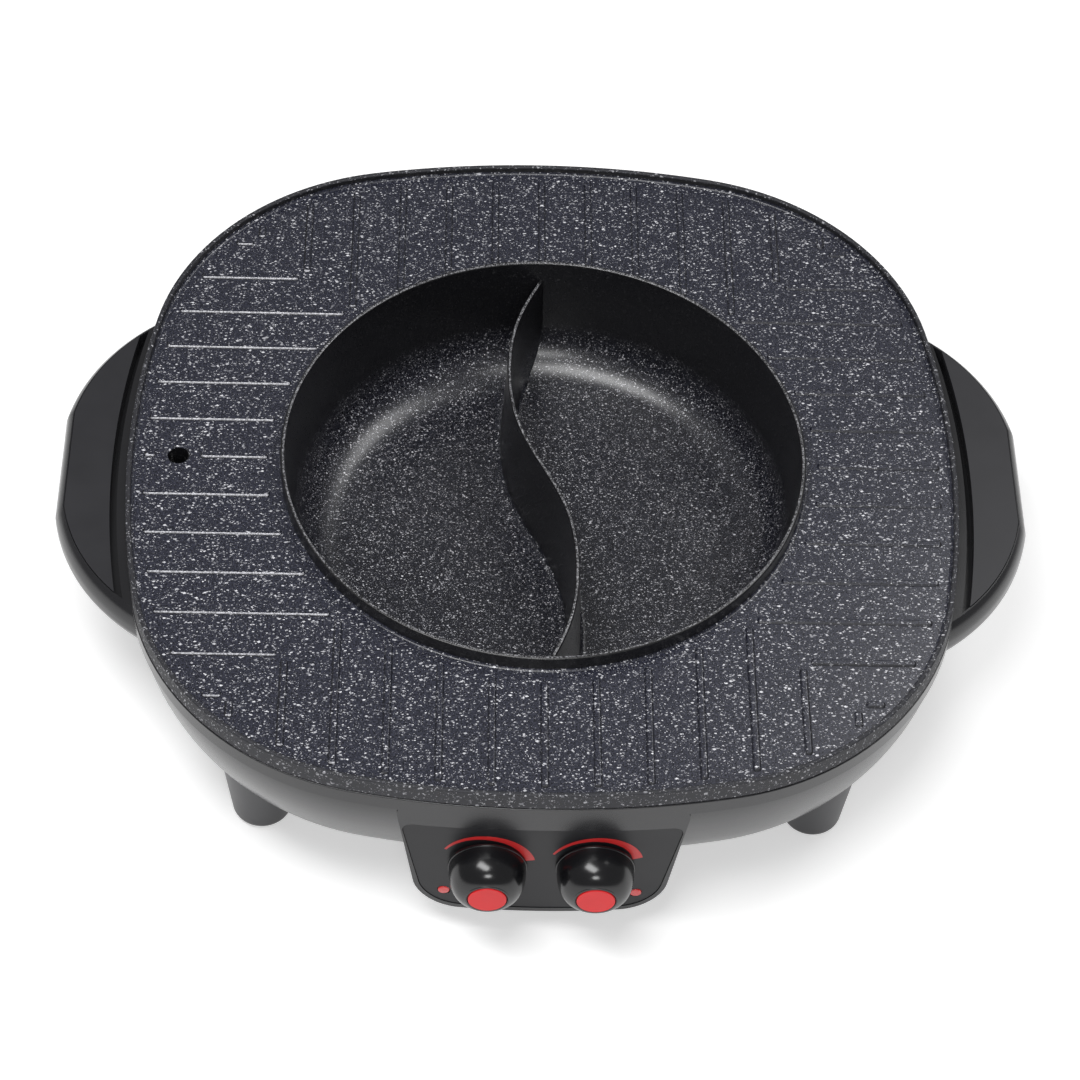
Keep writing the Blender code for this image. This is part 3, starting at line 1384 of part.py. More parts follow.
def tray_rail(name, side, parent):
    """An L rail under the bowl: a web outside the tray's flange and a lip below it."""
    flange_edge = TRAY_HALF_WIDTH + TRAY_FLANGE_WIDTH
    web_inner = flange_edge + SLIDE_GAP
    web_outer = web_inner + RAIL_THICKNESS
    lip_top = TRAY_TOP - TRAY_FLANGE_THICKNESS - SEAT_GAP
    lip_foot = lip_top - RAIL_THICKNESS
    lip_inner = TRAY_HALF_WIDTH + SLIDE_GAP
    top = BOWL_TOP - RAIL_TOP_DROP
    outer, inner = tray_span()
    start, end = outer + RAIL_END_MARGIN, inner - RAIL_END_MARGIN
    ys = sorted((side * web_inner, side * web_outer))
    rail = box(name, (start, ys[0], lip_foot), (end, ys[1], top))
    ys = sorted((side * lip_inner, side * (web_outer - RAIL_THICKNESS / 2)))
    join(rail, box(name + "_lip", (start, ys[0], lip_foot), (end, ys[1], lip_top)))
    cut(rail, bowl_solid(name + "_bowl", SEAT_GAP))
    settle(rail)
    return finish(rail, matt_black(), parent)


# Feet

def foot_blank():
    """One foot at the first corner: a tapered post whose top is cut to the bowl."""
    x, y = foot_places()[0]
    height = foot_boss_level() + FOOT_OVERLAP
    top_radius = FOOT_RADIUS + height * math.tan(FOOT_TAPER)
    edge = arc(FOOT_RADIUS - FOOT_EDGE, FOOT_EDGE, FOOT_EDGE, 0, -QUARTER_TURN, 3)
    deep, bore = foot_boss_level() - FOOT_SCREW_SEAT, SCREW_RADIUS + SEAT_GAP
    profile = [(bore, height), (top_radius, height)] + edge + [
        (FOOT_COUNTERBORE_RADIUS, 0),
        (FOOT_COUNTERBORE_RADIUS, deep),
        (bore, deep),
        (bore, height),
    ]
    foot = settle(turned("foot_blank", profile, FOOT_SEGMENTS))
    foot.data.transform(Matrix.Translation((x, y, 0)))
    cut(foot, bowl_solid("foot_bowl", SEAT_GAP))
    settle(foot)
    foot.data.transform(Matrix.Translation((-x, -y, 0)))
    return as_tool(smooth(foot))


def feet(parent):
    blank = foot_blank()
    names = ("foot_back_right", "foot_back_left", "foot_front_left", "foot_front_right")
    for number, (name, (x, y)) in enumerate(zip(names, foot_places())):
        finish(copy_of(blank, name, number * QUARTER_TURN, (x, y, 0)), matt_black(), parent)
    level = foot_boss_level() - FOOT_SCREW_SEAT - SEAT_GAP
    screws("foot_screw", FOOT_SCREW_SEAT + BOSS_HEIGHT, [(x, y, level) for x, y in foot_places()], parent)


# Bottom cover

def bottom_cover(parent):
    top = BOWL_FLOOR - SEAT_GAP
    foot = top - BOTTOM_COVER_THICKNESS
    radius = SERVICE_RADIUS + BOTTOM_COVER_OVERLAP
    cover = rod("bottom_cover", radius, (0, 0, foot), (0, 0, top), BOTTOM_COVER_SEGMENTS)
    distance = SERVICE_RADIUS * VENT_REACH_SHARE
    for number in range(VENT_COUNT):
        half, reach = VENT_WIDTH / 2, SERVICE_RADIUS * VENT_LENGTH_SHARE / 2
        vent = box("vent", (-reach, -half, foot - OVERRUN), (reach, half, top + OVERRUN))
        angle = 2 * math.pi * (number + 0.5) / VENT_COUNT
        vent.rotation_euler = (0, 0, angle)
        vent.location = (distance * math.cos(angle), distance * math.sin(angle), 0)
        cut(cover, vent)
    for x, y in bottom_screw_places():
        low, high = (x, y, foot - OVERRUN), (x, y, top + OVERRUN)
        cut(cover, rod("bottom_hole", SCREW_RADIUS + SEAT_GAP, low, high, SCREW_SEGMENTS))
    settle(cover)
    finish(cover, matt_black(), parent)
    places = [(x, y, foot - SEAT_GAP) for x, y in bottom_screw_places()]
    screws("bottom_cover_screw", BOTTOM_SCREW_LENGTH, places, parent)


# Power inlet

def power_inlet(parent):
    face = outline_reach(POD_OFFSET, 0) + SEAT_GAP
    back = face - INLET_DEPTH
    body = plate("power_inlet", inlet_points(0), back, face + INLET_BEZEL_THICKNESS / 2, "Y")
    join(body, plate("inlet_bezel", inlet_points(INLET_BEZEL), face, face + INLET_BEZEL_THICKNESS, "Y"))
    mouth = plate("inlet_mouth", inlet_points(-INLET_WALL), back + INLET_WALL, face + OVERRUN, "Y")
    cut(body, mouth)
    for number, (x, height) in enumerate(inlet_pin_places(), 1):
        slot = inlet_pin_box("inlet_pin_slot_" + str(number), x, height, SEAT_GAP)
        cut(body, slot)
    settle(body)
    finish(body, matt_black(), parent)
    for number, (x, height) in enumerate(inlet_pin_places(), 1):
        finish(inlet_pin_box("inlet_pin_" + str(number), x, height, 0), bright_steel(), parent)


def inlet_pin_places():
    spacing, rise = INLET_PIN_SPACING, INLET_PIN_RISE
    return [(-spacing, INLET_CENTRE - rise), (spacing, INLET_CENTRE - rise), (0, INLET_CENTRE + rise)]


def inlet_pin_box(name, x, height, margin):
    face = outline_reach(POD_OFFSET, 0)
    back = face - INLET_DEPTH - INLET_WALL
    half, rise = INLET_PIN_THICKNESS / 2 + margin, INLET_PIN_WIDTH / 2 + margin
    return box(name, (x - half, back, height - rise), (x + half, back + INLET_PIN_LENGTH, height + rise))


# Terminal block and thermal fuse

def terminal_block(parent):
    floor = TERMINAL_PLATFORM_TOP + SEAT_GAP
    half, depth = TERMINAL_WIDTH / 2, TERMINAL_DEPTH / 2
    reach = PLATE_HALF - TERMINAL_INSET
    low, high = (-half, reach - depth, floor), (half, reach + depth, floor + TERMINAL_HEIGHT)
    block = box("terminal_block", low, high)
    middle = floor + TERMINAL_HEIGHT / 2
    for number in range(TERMINAL_WAYS):
        x = TERMINAL_WIDTH * ((number + 0.5) / TERMINAL_WAYS - 0.5)
        start, end = (x, reach - TERMINAL_DEPTH, middle), (x, reach + TERMINAL_DEPTH, middle)
        cut(block, rod("terminal_hole", TERMINAL_HOLE_RADIUS, start, end, SCREW_SEGMENTS))
    settle(block)
    return finish(block, white_ceramic(), parent)


def thermal_fuse(parent):
    level = DISH_FLOOR + SEAT_GAP + FUSE_RADIUS
    start, end = (-FUSE_LENGTH / 2, FUSE_REACH, level), (FUSE_LENGTH / 2, FUSE_REACH, level)
    return finish(rod("thermal_fuse", FUSE_RADIUS, start, end, FUSE_SEGMENTS), bright_steel(), parent)


# Assembly

def assembly_empty():
    """Moves the model along Y so that the middle of its footprint is over the origin."""
    front = -knob_base_y() + KNOB_HEIGHT + CAP_PROUD
    back = outline_reach(POD_OFFSET, 0) + SEAT_GAP + INLET_BEZEL_THICKNESS
    frame = bpy.data.objects.new("assembly", None)
    frame.location = (0, (front - back) / 2, 0)
    return link(frame)


def main():
    clear_scene()
    frame = assembly_empty()
    grill_pan(frame)
    base_housing(frame)
    handle_cover("left", -1, frame)
    handle_cover("right", 1, frame)
    handle_screws(frame)
    control_face_plate(frame)
    for name, x in knob_axes().items():
        knob(name, x, frame)
        knob_cap(name, x, frame)
        thermostat(name, x, frame)
        thermostat_shaft(name, x, frame)
        thermostat_nut(name, x, frame)
    for name, x in light_places().items():
        indicator_lens(name, x, frame)
        indicator_lamp(name, x, frame)
    heat_reflector(frame)
    reflector_standoffs(frame)
    heating_element("pot", POT_ELEMENT_RADIUS, POT_ELEMENT_LEVEL, DISH_FLOOR, frame)
    heating_element("grill", GRILL_ELEMENT_RADIUS, GRILL_ELEMENT_LEVEL, LEDGE_TOP, frame)
    grease_tube(frame)
    drip_tray(frame)
    tray_rail("tray_rail_front", -1, frame)
    tray_rail("tray_rail_back", 1, frame)
    feet(frame)
    bottom_cover(frame)
    power_inlet(frame)
    terminal_block(frame)
    thermal_fuse(frame)


main()
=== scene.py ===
"""Looks of the hot pot and grill cooker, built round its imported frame."""

import re
from math import acos, asin, atan2, cos, hypot, pi, radians, sin, sqrt, tan

import bmesh
import bpy
from mathutils import Matrix, Vector

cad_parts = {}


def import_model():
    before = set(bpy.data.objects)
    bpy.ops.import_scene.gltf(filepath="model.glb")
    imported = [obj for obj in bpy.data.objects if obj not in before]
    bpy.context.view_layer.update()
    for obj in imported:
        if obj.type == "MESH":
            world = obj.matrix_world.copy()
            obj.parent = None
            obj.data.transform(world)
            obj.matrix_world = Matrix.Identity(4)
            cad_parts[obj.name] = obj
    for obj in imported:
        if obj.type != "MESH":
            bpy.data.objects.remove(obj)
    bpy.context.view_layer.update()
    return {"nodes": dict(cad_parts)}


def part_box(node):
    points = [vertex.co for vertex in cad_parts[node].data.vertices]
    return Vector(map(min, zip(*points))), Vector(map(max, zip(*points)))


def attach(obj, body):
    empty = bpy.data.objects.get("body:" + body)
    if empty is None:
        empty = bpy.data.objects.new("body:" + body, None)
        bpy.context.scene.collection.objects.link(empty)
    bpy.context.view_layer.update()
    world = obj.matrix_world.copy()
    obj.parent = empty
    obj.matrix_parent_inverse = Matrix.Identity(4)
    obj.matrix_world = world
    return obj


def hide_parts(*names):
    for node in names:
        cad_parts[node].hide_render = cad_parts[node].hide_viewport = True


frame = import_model()
nodes = frame["nodes"]
scene = bpy.context.scene

MM = 0.001
QUARTER = pi / 2
MERGE_DISTANCE = 0.002 * MM

# Sizes, nearly all as in the solids. The domes of the knobs are fuller here.
CENTRE_SHIFT = 8.7 * MM
SEAT_GAP = 0.3 * MM
OVERRUN = 6 * MM
EMBED = 1.2 * MM
PLATE_HALF = 209.5 * MM
FRONT = -PLATE_HALF - OVERRUN
SIDE_RADIUS = 480 * MM
CORNER_RADIUS = 139 * MM
OUTLINE_STEPS = 26

PLATE_TOP = 109.5 * MM
PLATE_THICKNESS = 3 * MM
LIP_RISE = 5 * MM
LIP_WIDTH = 2.5 * MM
SKIRT_DROP = 4.7 * MM
SKIRT_WIDTH = 2.3 * MM
SKIRT_FLARE = 0.6 * MM
SKIRT_INNER_OFFSET = SKIRT_FLARE - SKIRT_WIDTH

WELL_RADIUS = 130.4 * MM
WELL_DEPTH = 61 * MM
WELL_WALL = 2.8 * MM
WELL_DRAFT = radians(3.5)
WELL_FILLET = 28 * MM
WELL_STEPS = 16
RING_RISE = 9 * MM
RING_WIDTH = 2.3 * MM
RING_TOP = PLATE_TOP + RING_RISE
WELL_FLOOR = PLATE_TOP - WELL_DEPTH
LIP_TOP = PLATE_TOP + LIP_RISE

DIVIDER_DROP = 12 * MM
DIVIDER_SWING = 17.9 * MM
DIVIDER_SHARPNESS = 0.05
DIVIDER_TOP_WIDTH = 2.2 * MM
DIVIDER_FOOT_WIDTH = 7 * MM
DIVIDER_TOP = RING_TOP - DIVIDER_DROP

STRIP_PITCH = 25 * MM
STRIP_WIDTH = 4.1 * MM
STRIP_RISE = 1 * MM
STRIP_RING_MARGIN = 6.5 * MM
STRIP_LIP_MARGIN = 5.5 * MM
STRIP_CORNER_GAP = 2 * MM
STRIP_REACH = 6

DRAIN_REACH = 184.5 * MM
DRAIN_RADIUS = 5.2 * MM
DRAIN_MARGIN = 6 * MM
SPOUT_WALL = 2.4 * MM
SPOUT_DROP = 11 * MM

BASE_WALL = 2.5 * MM
BAND_PROUD = 1 * MM
BAND_HEIGHT = 8.6 * MM
BAND_STEP = 1.4 * MM
BAND_STEP_HEIGHT = 0.6 * MM
FLANGE_THICKNESS = 2.6 * MM
REBATE_WIDTH = 5.8 * MM
REBATE_DEPTH = 1.4 * MM
BOWL_INSET = 85 * MM
BOWL_SIDE_POWER = 0.6
BOWL_FLOOR_POWER = 1.25
BOWL_FLOOR = 15.3 * MM
FLANGE_TOP = PLATE_TOP - SKIRT_DROP - SEAT_GAP
BAND_FOOT = FLANGE_TOP - BAND_HEIGHT
BOWL_TOP = BAND_FOOT - BAND_STEP_HEIGHT
BOWL_DEPTH = BOWL_TOP - BOWL_FLOOR
REBATE_OFFSET = SKIRT_INNER_OFFSET - SEAT_GAP
REBATE_TOP = FLANGE_TOP - REBATE_DEPTH
BOWL_EDGE_OFFSET = BAND_PROUD - BAND_STEP
SERVICE_RADIUS = 96 * MM

EAR_REACH = 240.5 * MM
EAR_EDGE_HALF = 31 * MM
EAR_ARC_RADIUS = 104 * MM
EAR_CORNER_ANGLE = radians(10.7)
EAR_ROOT = 186 * MM
EAR_DEPTH = 21 * MM
EAR_BULGE = 4.2 * MM
EAR_WALL = 2.6 * MM
EAR_STEPS = 24
SLOT_OFFSET = 4.9 * MM
SLOT_WIDTH = 3.5 * MM
SLOT_DEPTH = 10 * MM
SLOT_OUTER = SLOT_OFFSET + SLOT_WIDTH
HANDLE_COVER_MARGIN = 0.9 * MM
HANDLE_COVER_THICKNESS = 2.4 * MM
HANDLE_COVER_PROUD = 0.5 * MM
HANDLE_SCREW_REACH = (PLATE_HALF + SLOT_OUTER + EAR_REACH) / 2
RECESS_FLOOR = FLANGE_TOP + HANDLE_COVER_PROUD - HANDLE_COVER_THICKNESS - SEAT_GAP

PANEL_TOP_HALF = 67.2 * MM
PANEL_FOOT_HALF = 55.5 * MM
PANEL_TOP = PLATE_TOP - 22 * MM
PANEL_FOOT = BOWL_FLOOR + 5.7 * MM
PANEL_ARCH = 3.2 * MM
PANEL_ARCH_RADIUS = 600 * MM
PANEL_TOP_CORNER = 5 * MM
PANEL_FOOT_CORNER = 20 * MM
PANEL_THICKNESS = 1.2 * MM
PANEL_INSET = 0.3 * MM
PANEL_GAP = 0.4 * MM
POD_MARGIN = 3.2 * MM
POD_OFFSET = BAND_PROUD - 0.2 * MM
POD_DEPTH = 109.5 * MM
PANEL_FACE_OFFSET = POD_OFFSET - PANEL_INSET
PANEL_BACK_OFFSET = PANEL_FACE_OFFSET - PANEL_THICKNESS
PANEL_SEAT_OFFSET = PANEL_BACK_OFFSET - SEAT_GAP
POD_INNER_OFFSET = PANEL_SEAT_OFFSET - BASE_WALL

KNOB_REACH = 25.8 * MM
KNOB_LEVEL = PANEL_TOP - 30.5 * MM
KNOB_RADIUS = 18.6 * MM
KNOB_HEIGHT = 19 * MM
KNOB_DOME_HEIGHT = 20.1 * MM
KNOB_DOME_POWER = 3
KNOB_DOME_STEPS = 28
KNOB_WALL = 2.2 * MM
KNOB_HOLLOW = 10 * MM
KNOB_HUB_RADIUS = 6.8 * MM
KNOB_PANEL_GAP = 0.6 * MM
CAP_RADIUS = 9.2 * MM
CAP_THICKNESS = 1.9 * MM
CAP_PROUD = 0.4 * MM
SHAFT_RADIUS = 3 * MM
SHAFT_REACH = 10.5 * MM
BUSH_RADIUS = 4.75 * MM
NUT_THICKNESS = 2 * MM
LIGHT_REACH = 46.5 * MM
LIGHT_LEVEL = PANEL_FOOT + 10.5 * MM
LENS_RADIUS = 2.9 * MM
LENS_PROUD = 0.3 * MM
LENS_LENGTH = 7 * MM

FOOT_REACH = 138.5 * MM
FOOT_RADIUS = 15 * MM
FOOT_TAPER = radians(5.5)
FOOT_OVERLAP = 37 * MM
FOOT_SCREW_SEAT = 10.5 * MM
FOOT_BORE_RADIUS = 5 * MM
FOOT_EDGE = 5.5 * MM

INLET_HALF = 26 * MM
INLET_BOSS_TOP = PLATE_TOP - 11 * MM
INLET_BOSS_HEIGHT = 47 * MM
INLET_BOSS_CORNER = 6 * MM
INLET_WIDTH = 28 * MM
INLET_HEIGHT = 20.5 * MM
INLET_CORNER = 5 * MM
INLET_CENTRE = INLET_BOSS_TOP - 25 * MM
SCREW_RADIUS = 1.8 * MM
GREASE_TUBE_RADIUS = 7 * MM


# Shape helpers

def new_object(name, data):
    item = bpy.data.objects.new(name, data)
    scene.collection.objects.link(item)
    return item


def object_from_bmesh(shape):
    mesh = bpy.data.meshes.new("shape")
    bmesh.ops.recalc_face_normals(shape, faces=shape.faces)
    shape.to_mesh(mesh)
    shape.free()
    return new_object("shape", mesh)


def plain_mesh(item):
    graph = bpy.context.evaluated_depsgraph_get()
    return bpy.data.meshes.new_from_object(item.evaluated_get(graph))


def settle(item):
    """Turn an object's modifiers into plain mesh."""
    mesh = plain_mesh(item)
    item.modifiers.clear()
    item.data = mesh
    return item


def boolean(target, tool, operation):
    modifier = target.modifiers.new(operation.lower(), "BOOLEAN")
    modifier.operation = operation
    modifier.solver = "EXACT"
    modifier.object = tool
    settle(target)
    bpy.data.objects.remove(tool, do_unlink=True)
    return target


def cut(target, tool):
    return boolean(target, tool, "DIFFERENCE")


def join(target, tool):
    return boolean(target, tool, "UNION")


def keep_inside(target, tool):
    return boolean(target, tool, "INTERSECT")


def smooth(item, angle):
    """Smooth shading that leaves edges over the angle sharp and large faces flat."""
    shape = bmesh.new()
    shape.from_mesh(item.data)
    bmesh.ops.remove_doubles(shape, verts=shape.verts, dist=MERGE_DISTANCE)
    bmesh.ops.dissolve_degenerate(shape, edges=shape.edges, dist=MERGE_DISTANCE)
    shape.to_mesh(item.data)
    shape.free()
    item.data.shade_smooth()
    item.data.set_sharp_from_angle(angle=radians(angle))
    item.modifiers.new("normals", "WEIGHTED_NORMAL").keep_sharp = True
    return item


def move(item, x, y, z=0.0):
    item.data.transform(Matrix.Translation((x, y, z)))
    return item


def soften(item, width):
    """Round the edges sharper than 50 degrees."""
    modifier = item.modifiers.new("round", "BEVEL")
    modifier.width = width
    modifier.segments = 3
    modifier.limit_method = "ANGLE"
    modifier.angle_limit = radians(50)
    modifier.use_clamp_overlap = True
    return settle(item)


def rod(radius, start, end, segments=48):
    start, end = Vector(start), Vector(end)
    along = end - start
    turn = Vector((0, 0, 1)).rotation_difference(along).to_matrix().to_4x4()
    shape = bmesh.new()
    size = {"radius1": radius, "radius2": radius, "depth": along.length}
    matrix = Matrix.Translation((start + end) / 2) @ turn
    bmesh.ops.create_cone(shape, cap_ends=True, segments=segments, matrix=matrix, **size)
    return object_from_bmesh(shape)


def posts(radius, places, low, high, segments=32):
    shape = bmesh.new()
    size = {"radius1": radius, "radius2": radius, "depth": high - low}
    for x, y in places:
        matrix = Matrix.Translation((x, y, (low + high) / 2))
        bmesh.ops.create_cone(shape, cap_ends=True, segments=segments, matrix=matrix, **size)
    return object_from_bmesh(shape)


def bore(target, radius, places, low, high):
    """Cut upright holes for rods of that radius."""
    return cut(target, posts(radius + SEAT_GAP, places, low, high))


def skin(shape, rows, closed=False):
    """Put faces between rings of vertices. A ring of one vertex is a pole."""
    pairs = list(zip(rows, rows[1:])) + ([(rows[-1], rows[0])] if closed else [])
    for lower, upper in pairs:
        count = max(len(lower), len(upper))
        for index in range(count):
            after = (index + 1) % count
            corners = [lower[index % len(lower)], lower[after % len(lower)]]
            corners += [upper[after % len(upper)], upper[index % len(upper)]]
            shape.faces.new(list(dict.fromkeys(corners)))


def turned(profile, segments=96):
    """A profile of (radius, height) points turned about Z. A radius of 0 makes a pole."""
    shape = bmesh.new()
    angles = [2 * pi * n / segments for n in range(segments)]
    rows = []
    for radius, height in profile:
        ring = [(radius * cos(a), radius * sin(a), height) for a in angles]
        rows.append([shape.verts.new(point) for point in (ring if radius else ring[:1])])
    skin(shape, rows, closed=profile[0][0] > 0)
    return object_from_bmesh(shape)


def add_loft(shape, rings):
    """Skin a row of rings of equal point count and fill both ends."""
    rows = [[shape.verts.new(point) for point in ring] for ring in rings]
    shape.faces.new(rows[0])
    shape.faces.new(rows[-1])
    skin(shape, rows)


def loft(rings):
    shape = bmesh.new()
    add_loft(shape, rings)
    return object_from_bmesh(shape)


def plate(points, low, high, across="Z"):
    """A flat outline with thickness from low to high: along Z, or along Y for an X-Z outline."""
    if across == "Z":
        return loft([[(u, v, level) for u, v in points] for level in (low, high)])
    return loft([[(u, level, v) for u, v in points] for level in (low, high)])


def arc(centre_u, centre_v, radius, start, end, steps):
    angles = [start + (end - start) * step / steps for step in range(steps + 1)]
    return [(centre_u + radius * cos(a), centre_v + radius * sin(a)) for a in angles]


def rounded(corners, steps=10):
    """A closed outline from corner points, each given as (x, y, fillet radius)."""
    points = []
    count = len(corners)
    for index, (x, y, radius) in enumerate(corners):
        if radius == 0:
            points.append((x, y))
            continue
        here = Vector((x, y))
        back = (Vector(corners[index - 1][:2]) - here).normalized()
        ahead = (Vector(corners[(index + 1) % count][:2]) - here).normalized()
        half = back.angle(ahead) / 2
        centre = here + (back + ahead).normalized() * (radius / sin(half))
        reach = radius / tan(half)
        first, last = here + back * reach - centre, here + ahead * reach - centre
        start = atan2(first.y, first.x)
        turn = (atan2(last.y, last.x) - start + pi) % (2 * pi) - pi
        points += arc(centre.x, centre.y, radius, start, start + turn, steps)
    return points


def rounded_box(left, right, low, high, radius, steps=10, top_radius=None):
    top = radius if top_radius is None else top_radius
    corners = [(left, low, radius), (right, low, radius), (right, high, top), (left, high, top)]
    return rounded(corners, steps)


def four_corners(reach):
    return [(reach, reach), (-reach, reach), (-reach, -reach), (reach, -reach)]


# The plate's outline, and circles that line up with it

SIDE_CENTRE = PLATE_HALF - SIDE_RADIUS
CORNER_CENTRE = (
    SIDE_CENTRE + sqrt(2 * (SIDE_RADIUS - CORNER_RADIUS) ** 2 - SIDE_CENTRE ** 2)
) / 2
TANGENT_ANGLE = atan2(CORNER_CENTRE, CORNER_CENTRE - SIDE_CENTRE)


def outline(offset=0):
    """The rounded square moved outward by offset. Point n has the same normal at every offset."""
    side, corner = SIDE_RADIUS + offset, CORNER_RADIUS + offset
    quarter = []
    for step in range(OUTLINE_STEPS):
        angle = TANGENT_ANGLE * (2 * step / OUTLINE_STEPS - 1)
        quarter.append((SIDE_CENTRE + side * cos(angle), side * sin(angle)))
    for step in range(OUTLINE_STEPS):
        angle = TANGENT_ANGLE + (QUARTER - 2 * TANGENT_ANGLE) * step / OUTLINE_STEPS
        quarter.append((CORNER_CENTRE + corner * cos(angle), CORNER_CENTRE + corner * sin(angle)))
    points = []
    for cosine, sine in ((1, 0), (0, 1), (-1, 0), (0, -1)):
        points += [(x * cosine - y * sine, x * sine + y * cosine) for x, y in quarter]
    return points


def outline_reach(offset, across):
    """How far the outline reaches in Y at a given X."""
    across = abs(across)
    side, corner = SIDE_RADIUS + offset, CORNER_RADIUS + offset
    if across <= side * sin(TANGENT_ANGLE):
        return SIDE_CENTRE + sqrt(side ** 2 - across ** 2)
    return CORNER_CENTRE + sqrt(corner ** 2 - (across - CORNER_CENTRE) ** 2)


def outline_plate(offset, low=0.0, high=PLATE_TOP):
    return plate(outline(offset), low, high)


def square_ring(offset, height):
    return [(x, y, height) for x, y in outline(offset)]


def round_ring(radius, height):
    ring = []
    for x, y in outline():
        scale = radius / hypot(x, y)
        ring.append((x * scale, y * scale, height))
    return ring


def dress(item, name, material, body, slot, *replaced):
    """Put a finished piece in the frame's place, with its name, material and body. The slot is not
    used.
    """
    item.name = name
    move(item, 0, CENTRE_SHIFT)
    item.data.materials.clear()
    item.data.materials.append(material)
    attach(item, body)
    if replaced:
        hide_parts(*replaced)


# Node helpers

class Graph:
    """A node tree with short calls for the nodes used here."""

    def __init__(self, name, owner=None, shader="Principled BSDF"):
        self.material = owner or bpy.data.materials.new(name)
        self.material.use_nodes = True
        self.tree = self.material.node_tree
        self.shader = self.tree.nodes[shader]
        place = self.node("ShaderNodeTexCoord").outputs
        self.position, self.normal = place["Object"], place["Normal"]

    def feed(self, socket, value):
        """Link a socket's value, or set a constant. A colour gets its alpha here."""
        if isinstance(value, bpy.types.NodeSocket):
            self.tree.links.new(value, socket)
        else:
            socket.default_value = (*value, 1.0) if socket.type == "RGBA" else value

    def node(self, kind, sockets=None, **values):
        item = self.tree.nodes.new(kind)
        for key, value in values.items():
            setattr(item, key, value)
        for key, value in (sockets or {}).items():
            self.feed(item.inputs[key], value)
        return item

    def set(self, **values):
        """Feed the shader's inputs, with _ for each space in a name."""
        for key, value in values.items():
            self.feed(self.shader.inputs[key.replace("_", " ")], value)

    def math(self, operation, a, b=0.0, c=0.0):
        return self.node("ShaderNodeMath", {0: a, 1: b, 2: c}, operation=operation).outputs[0]

    def times(self, first, *others):
        for other in others:
            first = self.math("MULTIPLY", first, other)
        return first

    def most(self, first, *others):
        for other in others:
            first = self.math("MAXIMUM", first, other)
        return first

    def vector_math(self, operation, a, b=(0, 0, 0)):
        sockets = {0: a, "Scale" if operation == "SCALE" else 1: b}
        item = self.node("ShaderNodeVectorMath", sockets, operation=operation)
        return item.outputs["Value" if operation in ("DOT_PRODUCT", "LENGTH") else "Vector"]

    def axes(self, vector):
        return self.node("ShaderNodeSeparateXYZ", {0: vector}).outputs

    def noise(self, scale, detail=2.0, roughness=0.5, vector=None, output=0):
        sockets = {"Scale": scale, "Detail": detail, "Roughness": roughness}
        sockets["Vector"] = vector or self.position
        return self.node("ShaderNodeTexNoise", sockets).outputs[output]

    def ramp(self, value, low, high, out_low=0.0, out_high=1.0):
        names = ("Value", "From Min", "From Max", "To Min", "To Max")
        sockets = dict(zip(names, (value, low, high, out_low, out_high)))
        return self.node("ShaderNodeMapRange", sockets, clamp=True).outputs[0]

    def rise(self, value, level, start, end):
        """From 0 to 1 between two distances from a level, in millimetres."""
        return self.ramp(value, level + start * MM, level + end * MM)

    def fall(self, value, level, start, end):
        return self.ramp(value, level + start * MM, level + end * MM, 1, 0)

    def mix(self, factor, a, b):
        sockets = {0: factor, 6: a, 7: b}
        return self.node("ShaderNodeMix", data_type="RGBA", sockets=sockets).outputs[2]

    def bump(self, height, strength, distance):
        sockets = {"Strength": strength, "Distance": distance, "Height": height}
        self.set(Normal=self.node("ShaderNodeBump", sockets).outputs[0])


# Materials

FLAKE_LAYERS = (
    # turn, cell, share of cells, metric
    (0.3, 0.92, 0.17, "MANHATTAN"),
    (1.35, 1.15, 0.16, "CHEBYCHEV"),
    (2.4, 0.8, 0.19, "MANHATTAN"),
    (0.9, 1.8, 0.07, "CHEBYCHEV"),
)
FLAKE_SHADES = ((0.1, 0.102, 0.12), (0.74, 0.74, 0.78))
FLAKE_STRETCH = (1.0, 1.7, 1.2)
POT_FINENESS = 1.5
PLATE_GROUND = ((0.006, 0.0065, 0.011), (0.028, 0.03, 0.048))
POT_GROUND = ((0.003, 0.003, 0.005), (0.015, 0.016, 0.025))
RIM_GROUND = (0.008, 0.008, 0.01)
# Painted shade colour for the walls.
PAINTED_WALL_SHADE = (0.006, 0.006, 0.007)
# Painted highlight colours for the top edges of the ring and the divider.
EDGE_HIGHLIGHT = ((0.012, 0.012, 0.014), (0.36, 0.36, 0.38))
# Painted shade on the strips' sides.
STRIP_SIDE_SHADE_COLOUR = (0.006, 0.006, 0.009)
STRIP_SIDE_SHADE_AMOUNT = 0.5
# Painted highlight colours for the front slopes of the left strips.
STRIP_FRONT_HIGHLIGHT = ((0.14, 0.14, 0.155), (0.6, 0.6, 0.64))


def flakes(g, vector, turn, cell, share, metric):
    """Narrow angular flakes in that share of the cells: how much flake, and each one's shade."""
    spin = (0.2 * turn, 0.3 * turn, turn)
    sockets = {"Vector": vector, "Rotation": spin, "Scale": FLAKE_STRETCH}
    sockets = {"Vector": g.node("ShaderNodeMapping", sockets).outputs[0], "Scale": 1 / (cell * MM)}
    cells = g.node("ShaderNodeTexVoronoi", sockets, distance=metric)
    draw, size, shade = g.node("ShaderNodeSeparateColor", {0: cells.outputs["Color"]}).outputs
    chosen = g.math("GREATER_THAN", draw, 1 - share)
    reach = g.math("MULTIPLY_ADD", size, 0.26, 0.22)
    mask = g.ramp(g.math("SUBTRACT", reach, cells.outputs["Distance"]), 0, 0.04)
    return g.times(mask, chosen), shade


